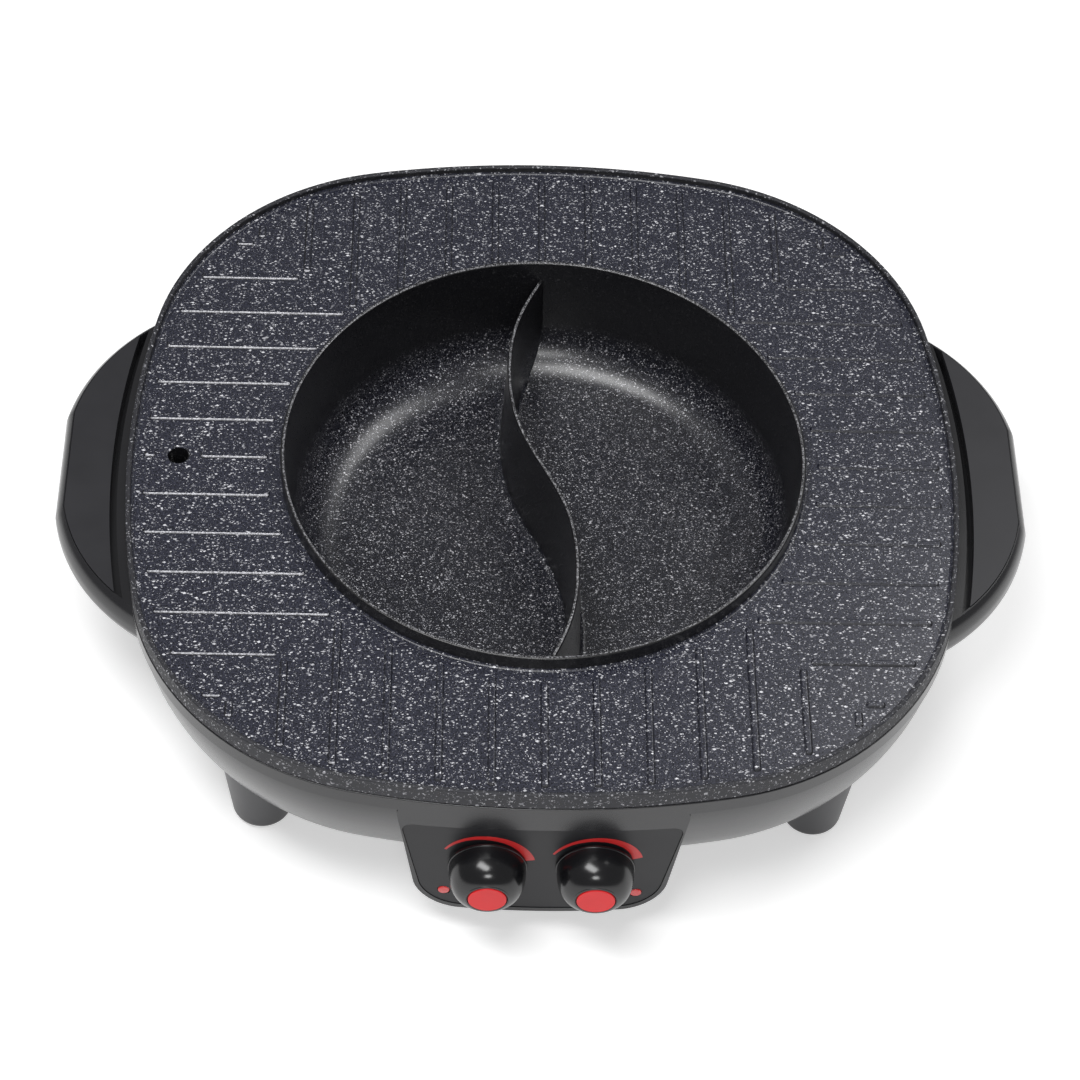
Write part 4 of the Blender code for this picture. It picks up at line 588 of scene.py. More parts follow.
def casting_masks(g, place, x, y, z):
    """Where the casting gets painted shade on its walls, painted highlights on the ring's and
    divider's top edges, its thinner rim, and the pot.
    """
    radius = g.math("SQRT", g.math("ADD", g.times(x, x), g.times(y, y)))
    near_wall = g.rise(radius, WELL_RADIUS, -36, -33)
    wall_by_fillet = g.times(g.rise(z, WELL_FLOOR, 9, 27), near_wall)
    wall_by_divider = g.times(g.rise(z, WELL_FLOOR, 1.2, 3.2), g.math("SUBTRACT", 1, near_wall))
    well_wall = g.times(g.fall(radius, WELL_RADIUS, 0.5, 0.9),
                        g.math("ADD", wall_by_fillet, wall_by_divider),
                        g.fall(z, RING_TOP, -1.1, -0.5))
    ring_side = g.times(g.fall(radius, WELL_RADIUS + RING_WIDTH, 1.1, 1.5),
                        g.rise(z, PLATE_TOP, 0.9, 1.7))
    off_pot = g.math("GREATER_THAN", radius, WELL_RADIUS + 20 * MM)
    outward = g.vector_math("DOT_PRODUCT", place, g.normal)
    lip_wall = g.times(g.rise(z, PLATE_TOP, 1.5, 2), g.fall(z, LIP_TOP, -1.1, -0.7), off_pot,
                       g.math("LESS_THAN", outward, 0))
    from_drain = g.vector_math("ADD", place, (DRAIN_REACH, 0, 0))
    from_drain = g.vector_math("LENGTH", g.vector_math("MULTIPLY", from_drain, (1, 1, 0)))
    in_drain = g.times(g.math("LESS_THAN", from_drain, DRAIN_RADIUS + 0.3 * MM),
                       g.math("LESS_THAN", z, PLATE_TOP - 0.7 * MM))
    # Painted highlights: thin lines along the round top edges of the divider and the ring.
    divider_highlight = g.times(g.rise(z, DIVIDER_TOP, -0.25, -0.1),
                           g.math("LESS_THAN", radius, WELL_RADIUS - 3 * MM))
    ring_highlight = g.times(g.rise(z, RING_TOP, -0.25, -0.1), g.fall(radius, WELL_RADIUS, 1.3, 1.5))
    rim = g.times(g.most(g.rise(z, PLATE_TOP, 3.5, 4), g.ramp(outward, 0.13, 0.17)), off_pot)
    # Painted shade: the well's wall, the ring's outer side, the lip's inner wall, the drain and the
    # divider's face are painted near black.
    black = g.most(well_wall, ring_side, lip_wall, in_drain)
    pot = g.math("LESS_THAN", z, PLATE_TOP - 5 * MM)
    return black, g.most(divider_highlight, ring_highlight), rim, pot


def stone_coating(name, strips=False):
    """Dark coating with pale stone flakes, finer in the pot, and walls painted near black as shade.

    The strips have sides painted darker as shade, and a painted highlight on the front slope of the
    left group.
    """
    g = Graph(name)
    place = g.vector_math("SUBTRACT", g.position, (0, CENTRE_SHIFT, 0))
    x, y, z = g.axes(place)
    black, edge, rim, pot = casting_masks(g, place, x, y, z)

    warp = g.vector_math("SUBTRACT", g.noise(2200, output="Color"), (0.5, 0.5, 0.5))
    bent = g.vector_math("ADD", g.position, g.vector_math("SCALE", warp, 0.7 * MM))
    bent = g.vector_math("SCALE", bent, g.math("MULTIPLY_ADD", pot, POT_FINENESS - 1, 1))
    grain = g.noise(1150, 3.0, 0.6)
    plate_ground = g.mix(g.ramp(grain, 0.42, 0.57), *PLATE_GROUND)
    colour = g.mix(pot, plate_ground, g.mix(g.ramp(grain, 0.42, 0.6), *POT_GROUND))
    colour = g.mix(g.times(rim, 0.7), colour, RIM_GROUND)
    for layer in FLAKE_LAYERS:
        amount, shade = flakes(g, bent, *layer)
        amount = g.times(amount, g.math("MULTIPLY_ADD", rim, -0.4, 1))
        colour = g.mix(amount, colour, g.mix(shade, *FLAKE_SHADES))
    # Painted shade: these walls are painted near black over their flakes.
    colour = g.mix(g.times(black, 0.97), colour, PAINTED_WALL_SHADE)
    # Painted highlight: a pale speckled line along the top edges of the ring and the divider.
    colour = g.mix(g.times(edge, 0.8), colour, g.mix(g.ramp(grain, 0.45, 0.62), *EDGE_HIGHLIGHT))
    if strips:
        forward, up = g.axes(g.normal)[1:]
        # Painted shade: the strips' sloping sides are darkened.
        side = g.ramp(up, 0.8, 0.97, 1, 0)
        colour = g.mix(g.times(side, STRIP_SIDE_SHADE_AMOUNT), colour, STRIP_SIDE_SHADE_COLOUR)
        # Painted highlight: the front slopes of the strips in the left group are painted pale.
        front = g.times(g.ramp(forward, -0.35, -0.2, 1, 0), g.rise(z, PLATE_TOP, 0.4, 0.55))
        front = g.times(g.math("LESS_THAN", x, -0.6 * WELL_RADIUS), front)
        colour = g.mix(front, colour, g.mix(g.ramp(grain, 0.38, 0.6), *STRIP_FRONT_HIGHLIGHT))
    g.bump(g.noise(1400), 0.2, 0.05 * MM)
    roughness = g.math("ADD", g.ramp(grain, 0.3, 0.7, 0.26, 0.34), g.times(rim, 0.35))
    g.set(Base_Color=colour, Roughness=roughness, Specular_IOR_Level=0.6)
    return g.material


def moulded(name, colour, roughness, grain=0.0, specular=0.5):
    """Moulded plastic: a faint cloud in its colour and gloss, and a fine grain where it is matt."""
    g = Graph(name)
    cloud = g.noise(35, 3.0)
    dark, light = [tuple(share * c for c in colour) for share in (0.9, 1.1)]
    g.set(Base_Color=g.mix(g.ramp(cloud, 0.3, 0.7), dark, light),
          Roughness=g.ramp(cloud, 0.3, 0.7, roughness * 0.93, roughness * 1.07),
          Specular_IOR_Level=specular)
    if grain:
        g.bump(g.noise(2600), grain, 0.03 * MM)
    return g.material


def plain(name, **values):
    g = Graph(name)
    g.set(**values)
    return g


def plated_steel():
    g = plain("plated_steel", Base_Color=(0.62, 0.62, 0.62), Metallic=1.0)
    brush = g.noise(500, 3.0, vector=g.vector_math("MULTIPLY", g.position, (1.0, 14.0, 1.0)))
    g.set(Roughness=g.ramp(brush, 0.3, 0.7, 0.22, 0.36))
    return g.material


def element_sheath():
    g = plain("element_sheath", Metallic=0.8, Roughness=0.5)
    heat = g.ramp(g.noise(60, 3.0), 0.35, 0.65)
    g.set(Base_Color=g.mix(heat, (0.13, 0.12, 0.12), (0.2, 0.17, 0.15)))
    return g.material


def ceramic():
    g = plain("ceramic", Roughness=0.55)
    g.set(Base_Color=g.mix(g.noise(120, 3.0), (0.72, 0.70, 0.64), (0.82, 0.80, 0.75)))
    return g.material


COATING = stone_coating("stone_coating")
STRIP_COATING = stone_coating("stone_coating_strips", strips=True)
GLOSS = moulded("gloss_black", (0.016, 0.016, 0.018), 0.24)
KNOB = moulded("knob_black", (0.006, 0.006, 0.007), 0.2)
SATIN = moulded("satin_black", (0.023, 0.023, 0.026), 0.42, grain=0.15, specular=0.4)
FACE = moulded("face_plate_black", (0.0095, 0.0095, 0.0115), 0.42, grain=0.1, specular=0.3)
FOOT = moulded("foot_black", (0.03, 0.03, 0.034), 0.4, grain=0.1)
CAP = moulded("cap_red", (0.74, 0.018, 0.022), 0.36, specular=0.3)
PRINT = moulded("print_red", (0.56, 0.02, 0.02), 0.4)
STEEL = plated_steel()
SHEATH = element_sheath()
LENS = plain("lens_red", Base_Color=(0.66, 0.02, 0.02), Roughness=0.12, Coat_Weight=0.5,
             Coat_Roughness=0.05).material
CERAMIC = ceramic()

NODE_MATERIALS = (
    (r"grill_pan", COATING),
    (r"base_housing", GLOSS),
    (r"knob_(pot|grill)$", KNOB),
    (r"knob_cap_", CAP),
    (r"indicator_lens_", LENS),
    (r"(pot|grill)_heating_element", SHEATH),
    (r"thermostat_(pot|grill)$|indicator_lamp_|reflector_standoff_|terminal_block", CERAMIC),
    (r"handle_cover_|drip_tray|tray_rail_|bottom_cover$|power_inlet", SATIN),
    (r"control_face_plate", FACE),
    (r"foot_(front|back)", FOOT),
    (r"", STEEL),
)
for name, node in nodes.items():
    material = next(material for pattern, material in NODE_MATERIALS if re.match(pattern, name))
    node.data.materials.clear()
    node.data.materials.append(material)


# Pan

LIP_EDGE = 0.9 * MM
FOOT_FILLET = 1.4 * MM
SKIRT_EDGE = 0.5 * MM
DIVIDER_STEPS = 72
DIVIDER_FOOT_FILLET = 3.2 * MM
STRIP_SINK = 0.4 * MM
STRIP_CORNER_SHARE = 0.75
# (inward, upward) shares of the rise, along a strip's sloping side
STRIP_SIDE_SHARES = (
    (0, 0.05), (0.12, 0.22), (0.4, 0.5), (0.68, 0.78), (0.85, 0.92), (1.02, 0.985), (1.25, 1)
)
DRAIN_EDGE = 1.2 * MM


def well_wall_radius(height):
    return WELL_RADIUS - tan(WELL_DRAFT) * (RING_TOP - height)


def well_rings(thickness):
    """Rings from the floor to the top of the fillet, offset outward by thickness."""
    centre_height = WELL_FLOOR + WELL_FILLET
    centre_radius = well_wall_radius(centre_height) - WELL_FILLET / cos(WELL_DRAFT)
    reach = WELL_FILLET + thickness
    points = arc(centre_radius, centre_height, reach, -QUARTER, -WELL_DRAFT, WELL_STEPS)
    return [round_ring(*point) for point in points]


def edge_rings(*edges):
    """Rings of rounded edges: ring maker, centre, radius, quarter turns from and to, steps."""
    rings = []
    for make_ring, u, v, radius, start, end, steps in edges:
        points = arc(u, v, radius, start * QUARTER, end * QUARTER, steps)
        rings += [make_ring(*point) for point in points]
    return rings


def pan_shell():
    ring_outer, ring_level = WELL_RADIUS + RING_WIDTH, RING_TOP - LIP_EDGE
    foot_level, lip_level = PLATE_TOP + FOOT_FILLET, LIP_TOP - LIP_EDGE
    skirt_foot, underside = PLATE_TOP - SKIRT_DROP, PLATE_TOP - PLATE_THICKNESS
    rings = well_rings(0) + edge_rings(
        (round_ring, WELL_RADIUS + LIP_EDGE, ring_level, LIP_EDGE, 2, 1, 5),
        (round_ring, ring_outer - LIP_EDGE, ring_level, LIP_EDGE, 1, 0, 5),
        (round_ring, ring_outer + FOOT_FILLET, foot_level, FOOT_FILLET, -2, -1, 5),
        (square_ring, -LIP_WIDTH - FOOT_FILLET, foot_level, FOOT_FILLET, -1, 0, 5),
        (square_ring, -LIP_WIDTH + LIP_EDGE, lip_level, LIP_EDGE, 2, 1, 5),
        (square_ring, -LIP_EDGE, lip_level, LIP_EDGE, 1, 0, 5),
        (square_ring, SKIRT_FLARE - SKIRT_EDGE, skirt_foot + SKIRT_EDGE, SKIRT_EDGE, 0, -1, 3),
    )
    rings += [
        square_ring(SKIRT_INNER_OFFSET, skirt_foot),
        square_ring(SKIRT_INNER_OFFSET, underside),
        round_ring(well_wall_radius(underside) + WELL_WALL, underside),
    ]
    return loft(rings + well_rings(WELL_WALL)[::-1])


def divider_line(y):
    phase = pi * y / WELL_RADIUS
    return -DIVIDER_SWING * (sin(phase) + DIVIDER_SHARPNESS * sin(3 * phase))


def divider_ring(width, height):
    reach = WELL_RADIUS + WELL_WALL
    left, right = [], []
    for step in range(DIVIDER_STEPS + 1):
        y = reach * (2 * step / DIVIDER_STEPS - 1)
        slope = (divider_line(y + EMBED) - divider_line(y - EMBED)) / (2 * EMBED)
        normal = Vector((1, -slope)).normalized() * (width / 2)
        x = divider_line(y)
        right.append((x + normal.x, y + normal.y, height))
        left.append((x - normal.x, y - normal.y, height))
    return right + left[::-1]


def divider():
    """The wall between the two pots, with a round top edge and a hollow fillet at its foot."""
    fillet = DIVIDER_FOOT_FILLET
    rings = [divider_ring(DIVIDER_FOOT_WIDTH + 2 * fillet, WELL_FLOOR - EMBED)]
    for share in (0, 0.12, 0.3, 0.55, 1):
        rise = fillet * share
        out = fillet - sqrt(fillet ** 2 - (fillet - rise) ** 2)
        rings.append(divider_ring(DIVIDER_FOOT_WIDTH + 2 * out, WELL_FLOOR + rise))
    half = DIVIDER_TOP_WIDTH / 2
    for u, v in arc(0, DIVIDER_TOP - half, half, 0, QUARTER * 0.9, 5):
        rings.append(divider_ring(2 * u, v))
    core_top = round_ring(well_wall_radius(RING_TOP) + EMBED, RING_TOP)
    wall = loft(rings)
    return keep_inside(wall, loft(well_rings(EMBED) + [core_top]))


def strip_spans(lane):
    clear = WELL_RADIUS + RING_WIDTH + STRIP_RING_MARGIN
    start = abs(lane) + STRIP_WIDTH / 2 + STRIP_CORNER_GAP
    if abs(lane) < clear:
        start = max(start, sqrt(clear ** 2 - lane ** 2))
    end = outline_reach(-LIP_WIDTH, abs(lane) + STRIP_WIDTH / 2) - STRIP_LIP_MARGIN
    return start, end


def strip_rings(first, last, lane, turn):
    """Stacked outlines of one strip, with sloping sides and round ends."""
    half = STRIP_WIDTH / 2
    layers = [(0, PLATE_TOP - STRIP_SINK)]
    for inward, upward in STRIP_SIDE_SHARES:
        layers.append((inward * STRIP_RISE, PLATE_TOP + upward * STRIP_RISE))
    spin = Matrix.Rotation(turn * QUARTER, 3, "Z")
    rings = []
    for inset, height in layers:
        low, high = lane - half + inset, lane + half - inset
        radius = half * STRIP_CORNER_SHARE - inset
        points = rounded_box(first + inset, last - inset, low, high, radius, 4)
        rings.append([spin @ Vector((x, y, height)) for x, y in points])
    return rings


def grill_strips():
    shape = bmesh.new()
    for turn in range(4):
        for count in range(-STRIP_REACH, STRIP_REACH + 1):
            lane = count * STRIP_PITCH
            start, end = strip_spans(lane)
            spans = [(start, end)]
            if count == 0 and turn == 2:
                clear = DRAIN_RADIUS + DRAIN_MARGIN
                spans = [(start, DRAIN_REACH - clear), (DRAIN_REACH + clear, end)]
            for first, last in spans:
                add_loft(shape, strip_rings(first, last, lane, turn))
    return object_from_bmesh(shape)


def build_pan():
    pan = join(pan_shell(), divider())
    top = (-DRAIN_REACH, 0, PLATE_TOP - EMBED)
    foot = (-DRAIN_REACH, 0, PLATE_TOP - PLATE_THICKNESS - SPOUT_DROP)
    join(pan, rod(DRAIN_RADIUS + SPOUT_WALL, foot, top))
    depth, mouth = -OVERRUN - SPOUT_DROP - PLATE_THICKNESS, DRAIN_RADIUS + DRAIN_EDGE
    profile = [(0, depth), (DRAIN_RADIUS, depth)]
    profile += arc(mouth, -DRAIN_EDGE, DRAIN_EDGE, 2 * QUARTER, QUARTER, 5)
    hole = turned(profile + [(mouth, OVERRUN), (0, OVERRUN)], 64)
    cut(pan, move(hole, -DRAIN_REACH, 0, PLATE_TOP))
    dress(smooth(pan, 38), "pan_body", COATING, "pan", "non_stick_casting", "grill_pan")
    dress(smooth(grill_strips(), 50), "grill_strips", STRIP_COATING, "pan", "non_stick_casting")


# Base housing

BOWL_STEPS = 22
BAND_EDGE = 0.5 * MM
HANDLE_COVER_EDGE = 0.35 * MM
FOOT_PLACES = four_corners(FOOT_REACH)
FOOT_NAMES = ("foot_back_right", "foot_back_left", "foot_front_left", "foot_front_right")
# (share of the ear's depth, share of its bulge)
EAR_KNOTS = (
    (0, 0), (0.05, 0.26), (0.14, 0.6), (0.36, 0.95), (0.53, 1), (0.7, 0.95), (0.88, 0.62), (1, 0.25)
)
EAR_SHARES = [0, 0.015, 0.035, 0.06, 0.09] + [0.14 + 0.86 * step / 16 for step in range(17)]


def bowl_profile(share):
    angle = QUARTER * min(max(share, 0), 1)
    inward = BOWL_INSET * (1 - cos(angle) ** BOWL_SIDE_POWER)
    return Vector((inward, BOWL_DEPTH * sin(angle) ** BOWL_FLOOR_POWER))


def bowl_rings(inset=0, steps=BOWL_STEPS):
    nudge = 0.5 / BOWL_STEPS
    rings = []
    for step in range(steps + 1):
        share = step / steps
        along = bowl_profile(share + nudge) - bowl_profile(share - nudge)
        if step == 0:
            along = Vector((0, 1))
        if step == steps:
            along = Vector((1, 0))
        along.normalize()
        inward, downward = bowl_profile(share) + Vector((along.y, -along.x)) * inset
        rings.append(square_ring(BOWL_EDGE_OFFSET - inward, BOWL_TOP - downward))
    return rings


def housing_block():
    level = FLANGE_TOP - BAND_EDGE
    rings = edge_rings((square_ring, BAND_PROUD - BAND_EDGE, level, BAND_EDGE, 1, 0, 3))
    rings += [
        square_ring(BAND_PROUD, BAND_FOOT),
        square_ring(BOWL_EDGE_OFFSET, BOWL_TOP + BAND_STEP_HEIGHT / 2),
    ]
    return loft(rings + bowl_rings())


def housing_hollow():
    rebate_inner = REBATE_OFFSET - REBATE_WIDTH
    flange_under = REBATE_TOP - FLANGE_THICKNESS
    rings = [
        square_ring(REBATE_OFFSET, PLATE_TOP),
        square_ring(REBATE_OFFSET, REBATE_TOP),
        square_ring(rebate_inner, REBATE_TOP),
        square_ring(rebate_inner, flange_under),
        square_ring(BAND_PROUD - BASE_WALL, flange_under),
    ]
    return loft(rings + bowl_rings(BASE_WALL, 12)[1:])


def ear_outline(offset, side, root=EAR_ROOT):
    centre_x = EAR_REACH - EAR_ARC_RADIUS * cos(EAR_CORNER_ANGLE)
    centre_y = EAR_EDGE_HALF - EAR_ARC_RADIUS * sin(EAR_CORNER_ANGLE)
    radius = EAR_ARC_RADIUS + offset
    root_angle = acos((root - centre_x) / radius)
    upper = arc(centre_x, centre_y, radius, EAR_CORNER_ANGLE, root_angle, EAR_STEPS)
    lower = [(x, -y) for x, y in reversed(upper)]
    return [(side * x, y) for x, y in lower + upper]


def ear_bulge(share):
    """How far the ear's side stands out at a share of its depth, smooth through the knots."""
    for index in range(len(EAR_KNOTS) - 1):
        (x1, y1), (x2, y2) = EAR_KNOTS[index], EAR_KNOTS[index + 1]
        if x1 <= share <= x2:
            before = EAR_KNOTS[max(index - 1, 0)]
            after = EAR_KNOTS[min(index + 2, len(EAR_KNOTS) - 1)]
            slope1 = (y2 - before[1]) / (x2 - before[0])
            slope2 = (after[1] - y1) / (after[0] - x1)
            t, span = (share - x1) / (x2 - x1), x2 - x1
            near = (2 * t ** 3 - 3 * t ** 2 + 1) * y1 + (t ** 3 - 2 * t ** 2 + t) * span * slope1
            far = (3 * t ** 2 - 2 * t ** 3) * y2
            return near + far + (t ** 3 - t ** 2) * span * slope2
    return EAR_KNOTS[-1][1]


def ear_block(side):
    rings = []
    for share in EAR_SHARES:
        height = FLANGE_TOP - EAR_DEPTH * share
        points = ear_outline(EAR_BULGE * ear_bulge(share), side)
        rings.append([(x, y, height) for x, y in points])
    return loft(rings)


def ear_hollow(side):
    points = ear_outline(EAR_BULGE / 4 - EAR_WALL, side, EAR_ROOT + EMBED)
    hollow = plate(points, FLANGE_TOP - EAR_DEPTH - OVERRUN, RECESS_FLOOR - EAR_WALL)
    low = FLANGE_TOP - SLOT_DEPTH - EAR_WALL
    return cut(hollow, outline_plate(SLOT_OUTER + EAR_WALL, low, FLANGE_TOP))


def outside_slot_plate(margin, side, low, high):
    top = plate(ear_outline(-margin, side), low, high)
    return cut(top, outline_plate(SLOT_OUTER, low - OVERRUN, high + OVERRUN))


def slot_cutter(side):
    low, high = FLANGE_TOP - SLOT_DEPTH, FLANGE_TOP + OVERRUN
    ring = outline_plate(SLOT_OUTER + SEAT_GAP, low, high)
    cut(ring, outline_plate(SLOT_OFFSET, low - OVERRUN, high + OVERRUN))
    ear = ear_outline(-HANDLE_COVER_MARGIN, side)
    return keep_inside(ring, plate(ear, low - OVERRUN, high + OVERRUN))


def panel_outline(margin, top_extra=0):
    shoulder = PANEL_TOP - PANEL_ARCH + margin + top_extra
    crown = PANEL_TOP + margin + top_extra
    foot, foot_half = PANEL_FOOT - margin, PANEL_FOOT_HALF + margin
    foot_corner = PANEL_FOOT_CORNER + margin
    top_half, top_corner = PANEL_TOP_HALF + margin, PANEL_TOP_CORNER + margin
    corners = [
        (-foot_half, foot, foot_corner),
        (foot_half, foot, foot_corner),
        (top_half, shoulder, top_corner),
        (0, crown, PANEL_ARCH_RADIUS),
        (-top_half, shoulder, top_corner),
    ]
    return rounded(corners, 16)


def pod_solid(points, offset, high):
    body = plate(points, FRONT, -PLATE_HALF + POD_DEPTH, "Y")
    return keep_inside(body, outline_plate(offset, 0, high))


def inlet_boss(shrink, top, top_radius):
    """The block behind the inlet, or with a shrink its inside."""
    foot = INLET_BOSS_TOP - INLET_BOSS_HEIGHT + shrink
    half, radius = INLET_HALF - shrink, INLET_BOSS_CORNER - shrink
    points = rounded_box(-half, half, foot, top, radius, top_radius=top_radius)
    body = plate(points, PLATE_HALF - POD_DEPTH, PLATE_HALF + OVERRUN, "Y")
    return keep_inside(body, outline_plate(POD_OFFSET - shrink))


def inlet_points(margin):
    half, rise = INLET_WIDTH / 2 + margin, INLET_HEIGHT / 2 + margin
    return rounded_box(-half, half, INLET_CENTRE - rise, INLET_CENTRE + rise, INLET_CORNER + margin)


def bowl_level(reach):
    """Height of the bowl's outside over a point on the diagonal, with its X equal to reach."""
    out = hypot(reach - CORNER_CENTRE, reach - CORNER_CENTRE)
    inward = CORNER_RADIUS + BOWL_EDGE_OFFSET - out
    angle = acos((1 - inward / BOWL_INSET) ** (1 / BOWL_SIDE_POWER))
    return BOWL_TOP - BOWL_DEPTH * sin(angle) ** BOWL_FLOOR_POWER


def control_holes(target):
    bush, light = (BUSH_RADIUS, KNOB_REACH, KNOB_LEVEL), (LENS_RADIUS, LIGHT_REACH, LIGHT_LEVEL)
    for side in (-1, 1):
        for radius, reach, level in (bush, light):
            x, inner = side * reach, -PLATE_HALF + PANEL_TOP_HALF / 2
            cut(target, rod(radius + SEAT_GAP, (x, FRONT, level), (x, inner, level)))


def build_housing():
    housing = housing_block()
    pod = panel_outline(POD_MARGIN, REBATE_TOP - PANEL_TOP - POD_MARGIN)
    join(housing, pod_solid(pod, POD_OFFSET, REBATE_TOP))
    join(housing, inlet_boss(0, INLET_BOSS_TOP, 0))
    for side in (-1, 1):
        join(housing, cut(ear_block(side), ear_hollow(side)))
    cut(housing, housing_hollow())
    pod_inside = panel_outline(POD_MARGIN - BASE_WALL)
    cut(housing, pod_solid(pod_inside, POD_INNER_OFFSET, PLATE_TOP))
    top, top_radius = INLET_BOSS_TOP - BASE_WALL - INLET_BOSS_CORNER, INLET_BOSS_CORNER - BASE_WALL
    cut(housing, inlet_boss(BASE_WALL, top, top_radius))
    inlet = inlet_points(SEAT_GAP)
    cut(housing, plate(inlet, PLATE_HALF / 2, PLATE_HALF + OVERRUN, "Y"))
    high, margin = FLANGE_TOP + OVERRUN, HANDLE_COVER_MARGIN - SEAT_GAP
    for side in (-1, 1):
        cut(housing, slot_cutter(side))
        cut(housing, outside_slot_plate(margin, side, RECESS_FLOOR, high))
    recess = plate(panel_outline(PANEL_GAP), FRONT, -PLATE_HALF / 2, "Y")
    cut(housing, cut(recess, outline_plate(PANEL_SEAT_OFFSET)))
    control_holes(housing)
    screws = FOOT_PLACES + [(side * HANDLE_SCREW_REACH, 0) for side in (-1, 1)]
    bore(housing, SCREW_RADIUS, screws, 0, high)
    low, top = BOWL_FLOOR - OVERRUN, BOWL_FLOOR + OVERRUN
    cut(housing, posts(SERVICE_RADIUS, [(0, 0)], low, top, 96))
    bore(housing, GREASE_TUBE_RADIUS, [(-DRAIN_REACH, 0)], 0, PLATE_TOP)
    dress(smooth(housing, 32), "base_body", GLOSS, "base", "gloss_black_plastic", "base_housing")


def build_handle_covers():
    low = RECESS_FLOOR + SEAT_GAP
    high = low + HANDLE_COVER_THICKNESS
    for name, side in (("left", -1), ("right", 1)):
        cover = outside_slot_plate(HANDLE_COVER_MARGIN, side, low, high)
        x, blind = side * HANDLE_SCREW_REACH, high - HANDLE_COVER_THICKNESS / 3
        cut(cover, rod(SCREW_RADIUS + SEAT_GAP, (x, 0, low - OVERRUN), (x, 0, blind)))
        soften(cover, HANDLE_COVER_EDGE)
        cover_name = "handle_cover_" + name
        dress(smooth(cover, 40), "cover_" + name, SATIN, "base", "matt_black_plastic", cover_name)


# Control parts

KNOB_SKIRT_RADIUS = 19 * MM
KNOB_SKIRT_HEIGHT = 1.3 * MM
KNOB_SKIRT_EDGE = 0.35 * MM
KNOB_SKIRT_GAP = 0.4 * MM
KNOB_RIM_EDGE = 0.3 * MM
CAP_EDGE = 0.35 * MM
LENS_EDGE = 0.6 * MM


def build_face_plate():
    body = plate(panel_outline(0), FRONT, -PLATE_HALF / 2, "Y")
    keep_inside(body, outline_plate(PANEL_FACE_OFFSET))
    cut(body, outline_plate(PANEL_BACK_OFFSET))
    control_holes(body)
    dress(smooth(body, 30), "face_plate", FACE, "base", "matt_black_plastic", "control_face_plate")


def dome_radius(height):
    share = (height / KNOB_DOME_HEIGHT) ** KNOB_DOME_POWER
    return KNOB_RADIUS * (1 - share) ** (1 / KNOB_DOME_POWER)


def dome_turn(height):
    return asin((height / KNOB_DOME_HEIGHT) ** (KNOB_DOME_POWER / 2))


def knob_profile():
    """The dome with a thin skirt at its back edge, a round rim and a seat for the red cap."""
    top, edge = KNOB_HEIGHT, KNOB_RIM_EDGE
    seat, seat_floor = CAP_RADIUS + SEAT_GAP, top + CAP_PROUD - CAP_THICKNESS - SEAT_GAP
    profile = [(0, seat_floor), (seat, seat_floor), (seat, top - edge), (seat + edge, top)]
    outer = dome_radius(top - edge)
    for a in (0.3, 0.7, 1.1, 1.45):
        profile.append((outer - edge * (1 - sin(a)), top - edge * (1 - cos(a))))
    dome_top, dome_foot = dome_turn(top - edge), dome_turn(KNOB_SKIRT_HEIGHT + KNOB_SKIRT_GAP)
    for step in range(KNOB_DOME_STEPS + 1):
        turn = dome_top + (dome_foot - dome_top) * step / KNOB_DOME_STEPS
        height = KNOB_DOME_HEIGHT * sin(turn) ** (2 / KNOB_DOME_POWER)
        profile.append((dome_radius(height), height))
    skirt_u, skirt_v = KNOB_SKIRT_RADIUS - KNOB_SKIRT_EDGE, KNOB_SKIRT_HEIGHT - KNOB_SKIRT_EDGE
    profile += arc(skirt_u, skirt_v, KNOB_SKIRT_EDGE, QUARTER, 0, 3)
    hole, hole_end = SHAFT_RADIUS + SEAT_GAP, SHAFT_REACH + SEAT_GAP + NUT_THICKNESS
    inner = KNOB_RADIUS - KNOB_WALL
    return profile + [
        (KNOB_SKIRT_RADIUS, 0),
        (inner, 0),
        (inner * dome_radius(KNOB_HOLLOW) / KNOB_RADIUS, KNOB_HOLLOW),
        (KNOB_HUB_RADIUS, KNOB_HOLLOW),
        (KNOB_HUB_RADIUS, NUT_THICKNESS),
        (hole, NUT_THICKNESS),
        (hole, hole_end),
        (0, hole_end),
    ]


def disc_profile(radius, low, high, edge):
    round_edge = arc(radius - edge, high - edge, edge, 0, QUARTER, 4)
    return [(0, low), (radius, low)] + round_edge + [(0, high)]


def toward_front(item, x, y, height):
    turn = Matrix.Rotation(QUARTER, 4, "X")
    item.data.transform(Matrix.Translation((x, y, height)) @ turn)
    return item


def build_controls():
    back = -PLATE_HALF - PANEL_FACE_OFFSET - KNOB_PANEL_GAP
    cap_top = KNOB_HEIGHT + CAP_PROUD
    cap_profile = disc_profile(CAP_RADIUS, cap_top - CAP_THICKNESS, cap_top, CAP_EDGE)
    lens_profile = disc_profile(LENS_RADIUS, 0, LENS_LENGTH, LENS_EDGE)
    lens_back = LENS_LENGTH - outline_reach(PANEL_FACE_OFFSET, LIGHT_REACH) - LENS_PROUD
    for name, side in (("pot", -1), ("grill", 1)):
        body, place = name + "_control", (side * KNOB_REACH, back, KNOB_LEVEL)
        knob = toward_front(turned(knob_profile(), 128), *place)
        dress(smooth(knob, 35), "dial_" + name, KNOB, body, "gloss_black_plastic", "knob_" + name)
        cap = toward_front(turned(cap_profile), *place)
        dress(smooth(cap, 40), "cap_" + name, CAP, body, "red_cap_plastic", "knob_cap_" + name)
        light = turned(lens_profile, 48)
        toward_front(light, side * LIGHT_REACH, lens_back, LIGHT_LEVEL)
        lens_name = "indicator_lens_" + name
        dress(smooth(light, 40), "light_" + name, LENS, "base", "red_lens", lens_name)


# Feet

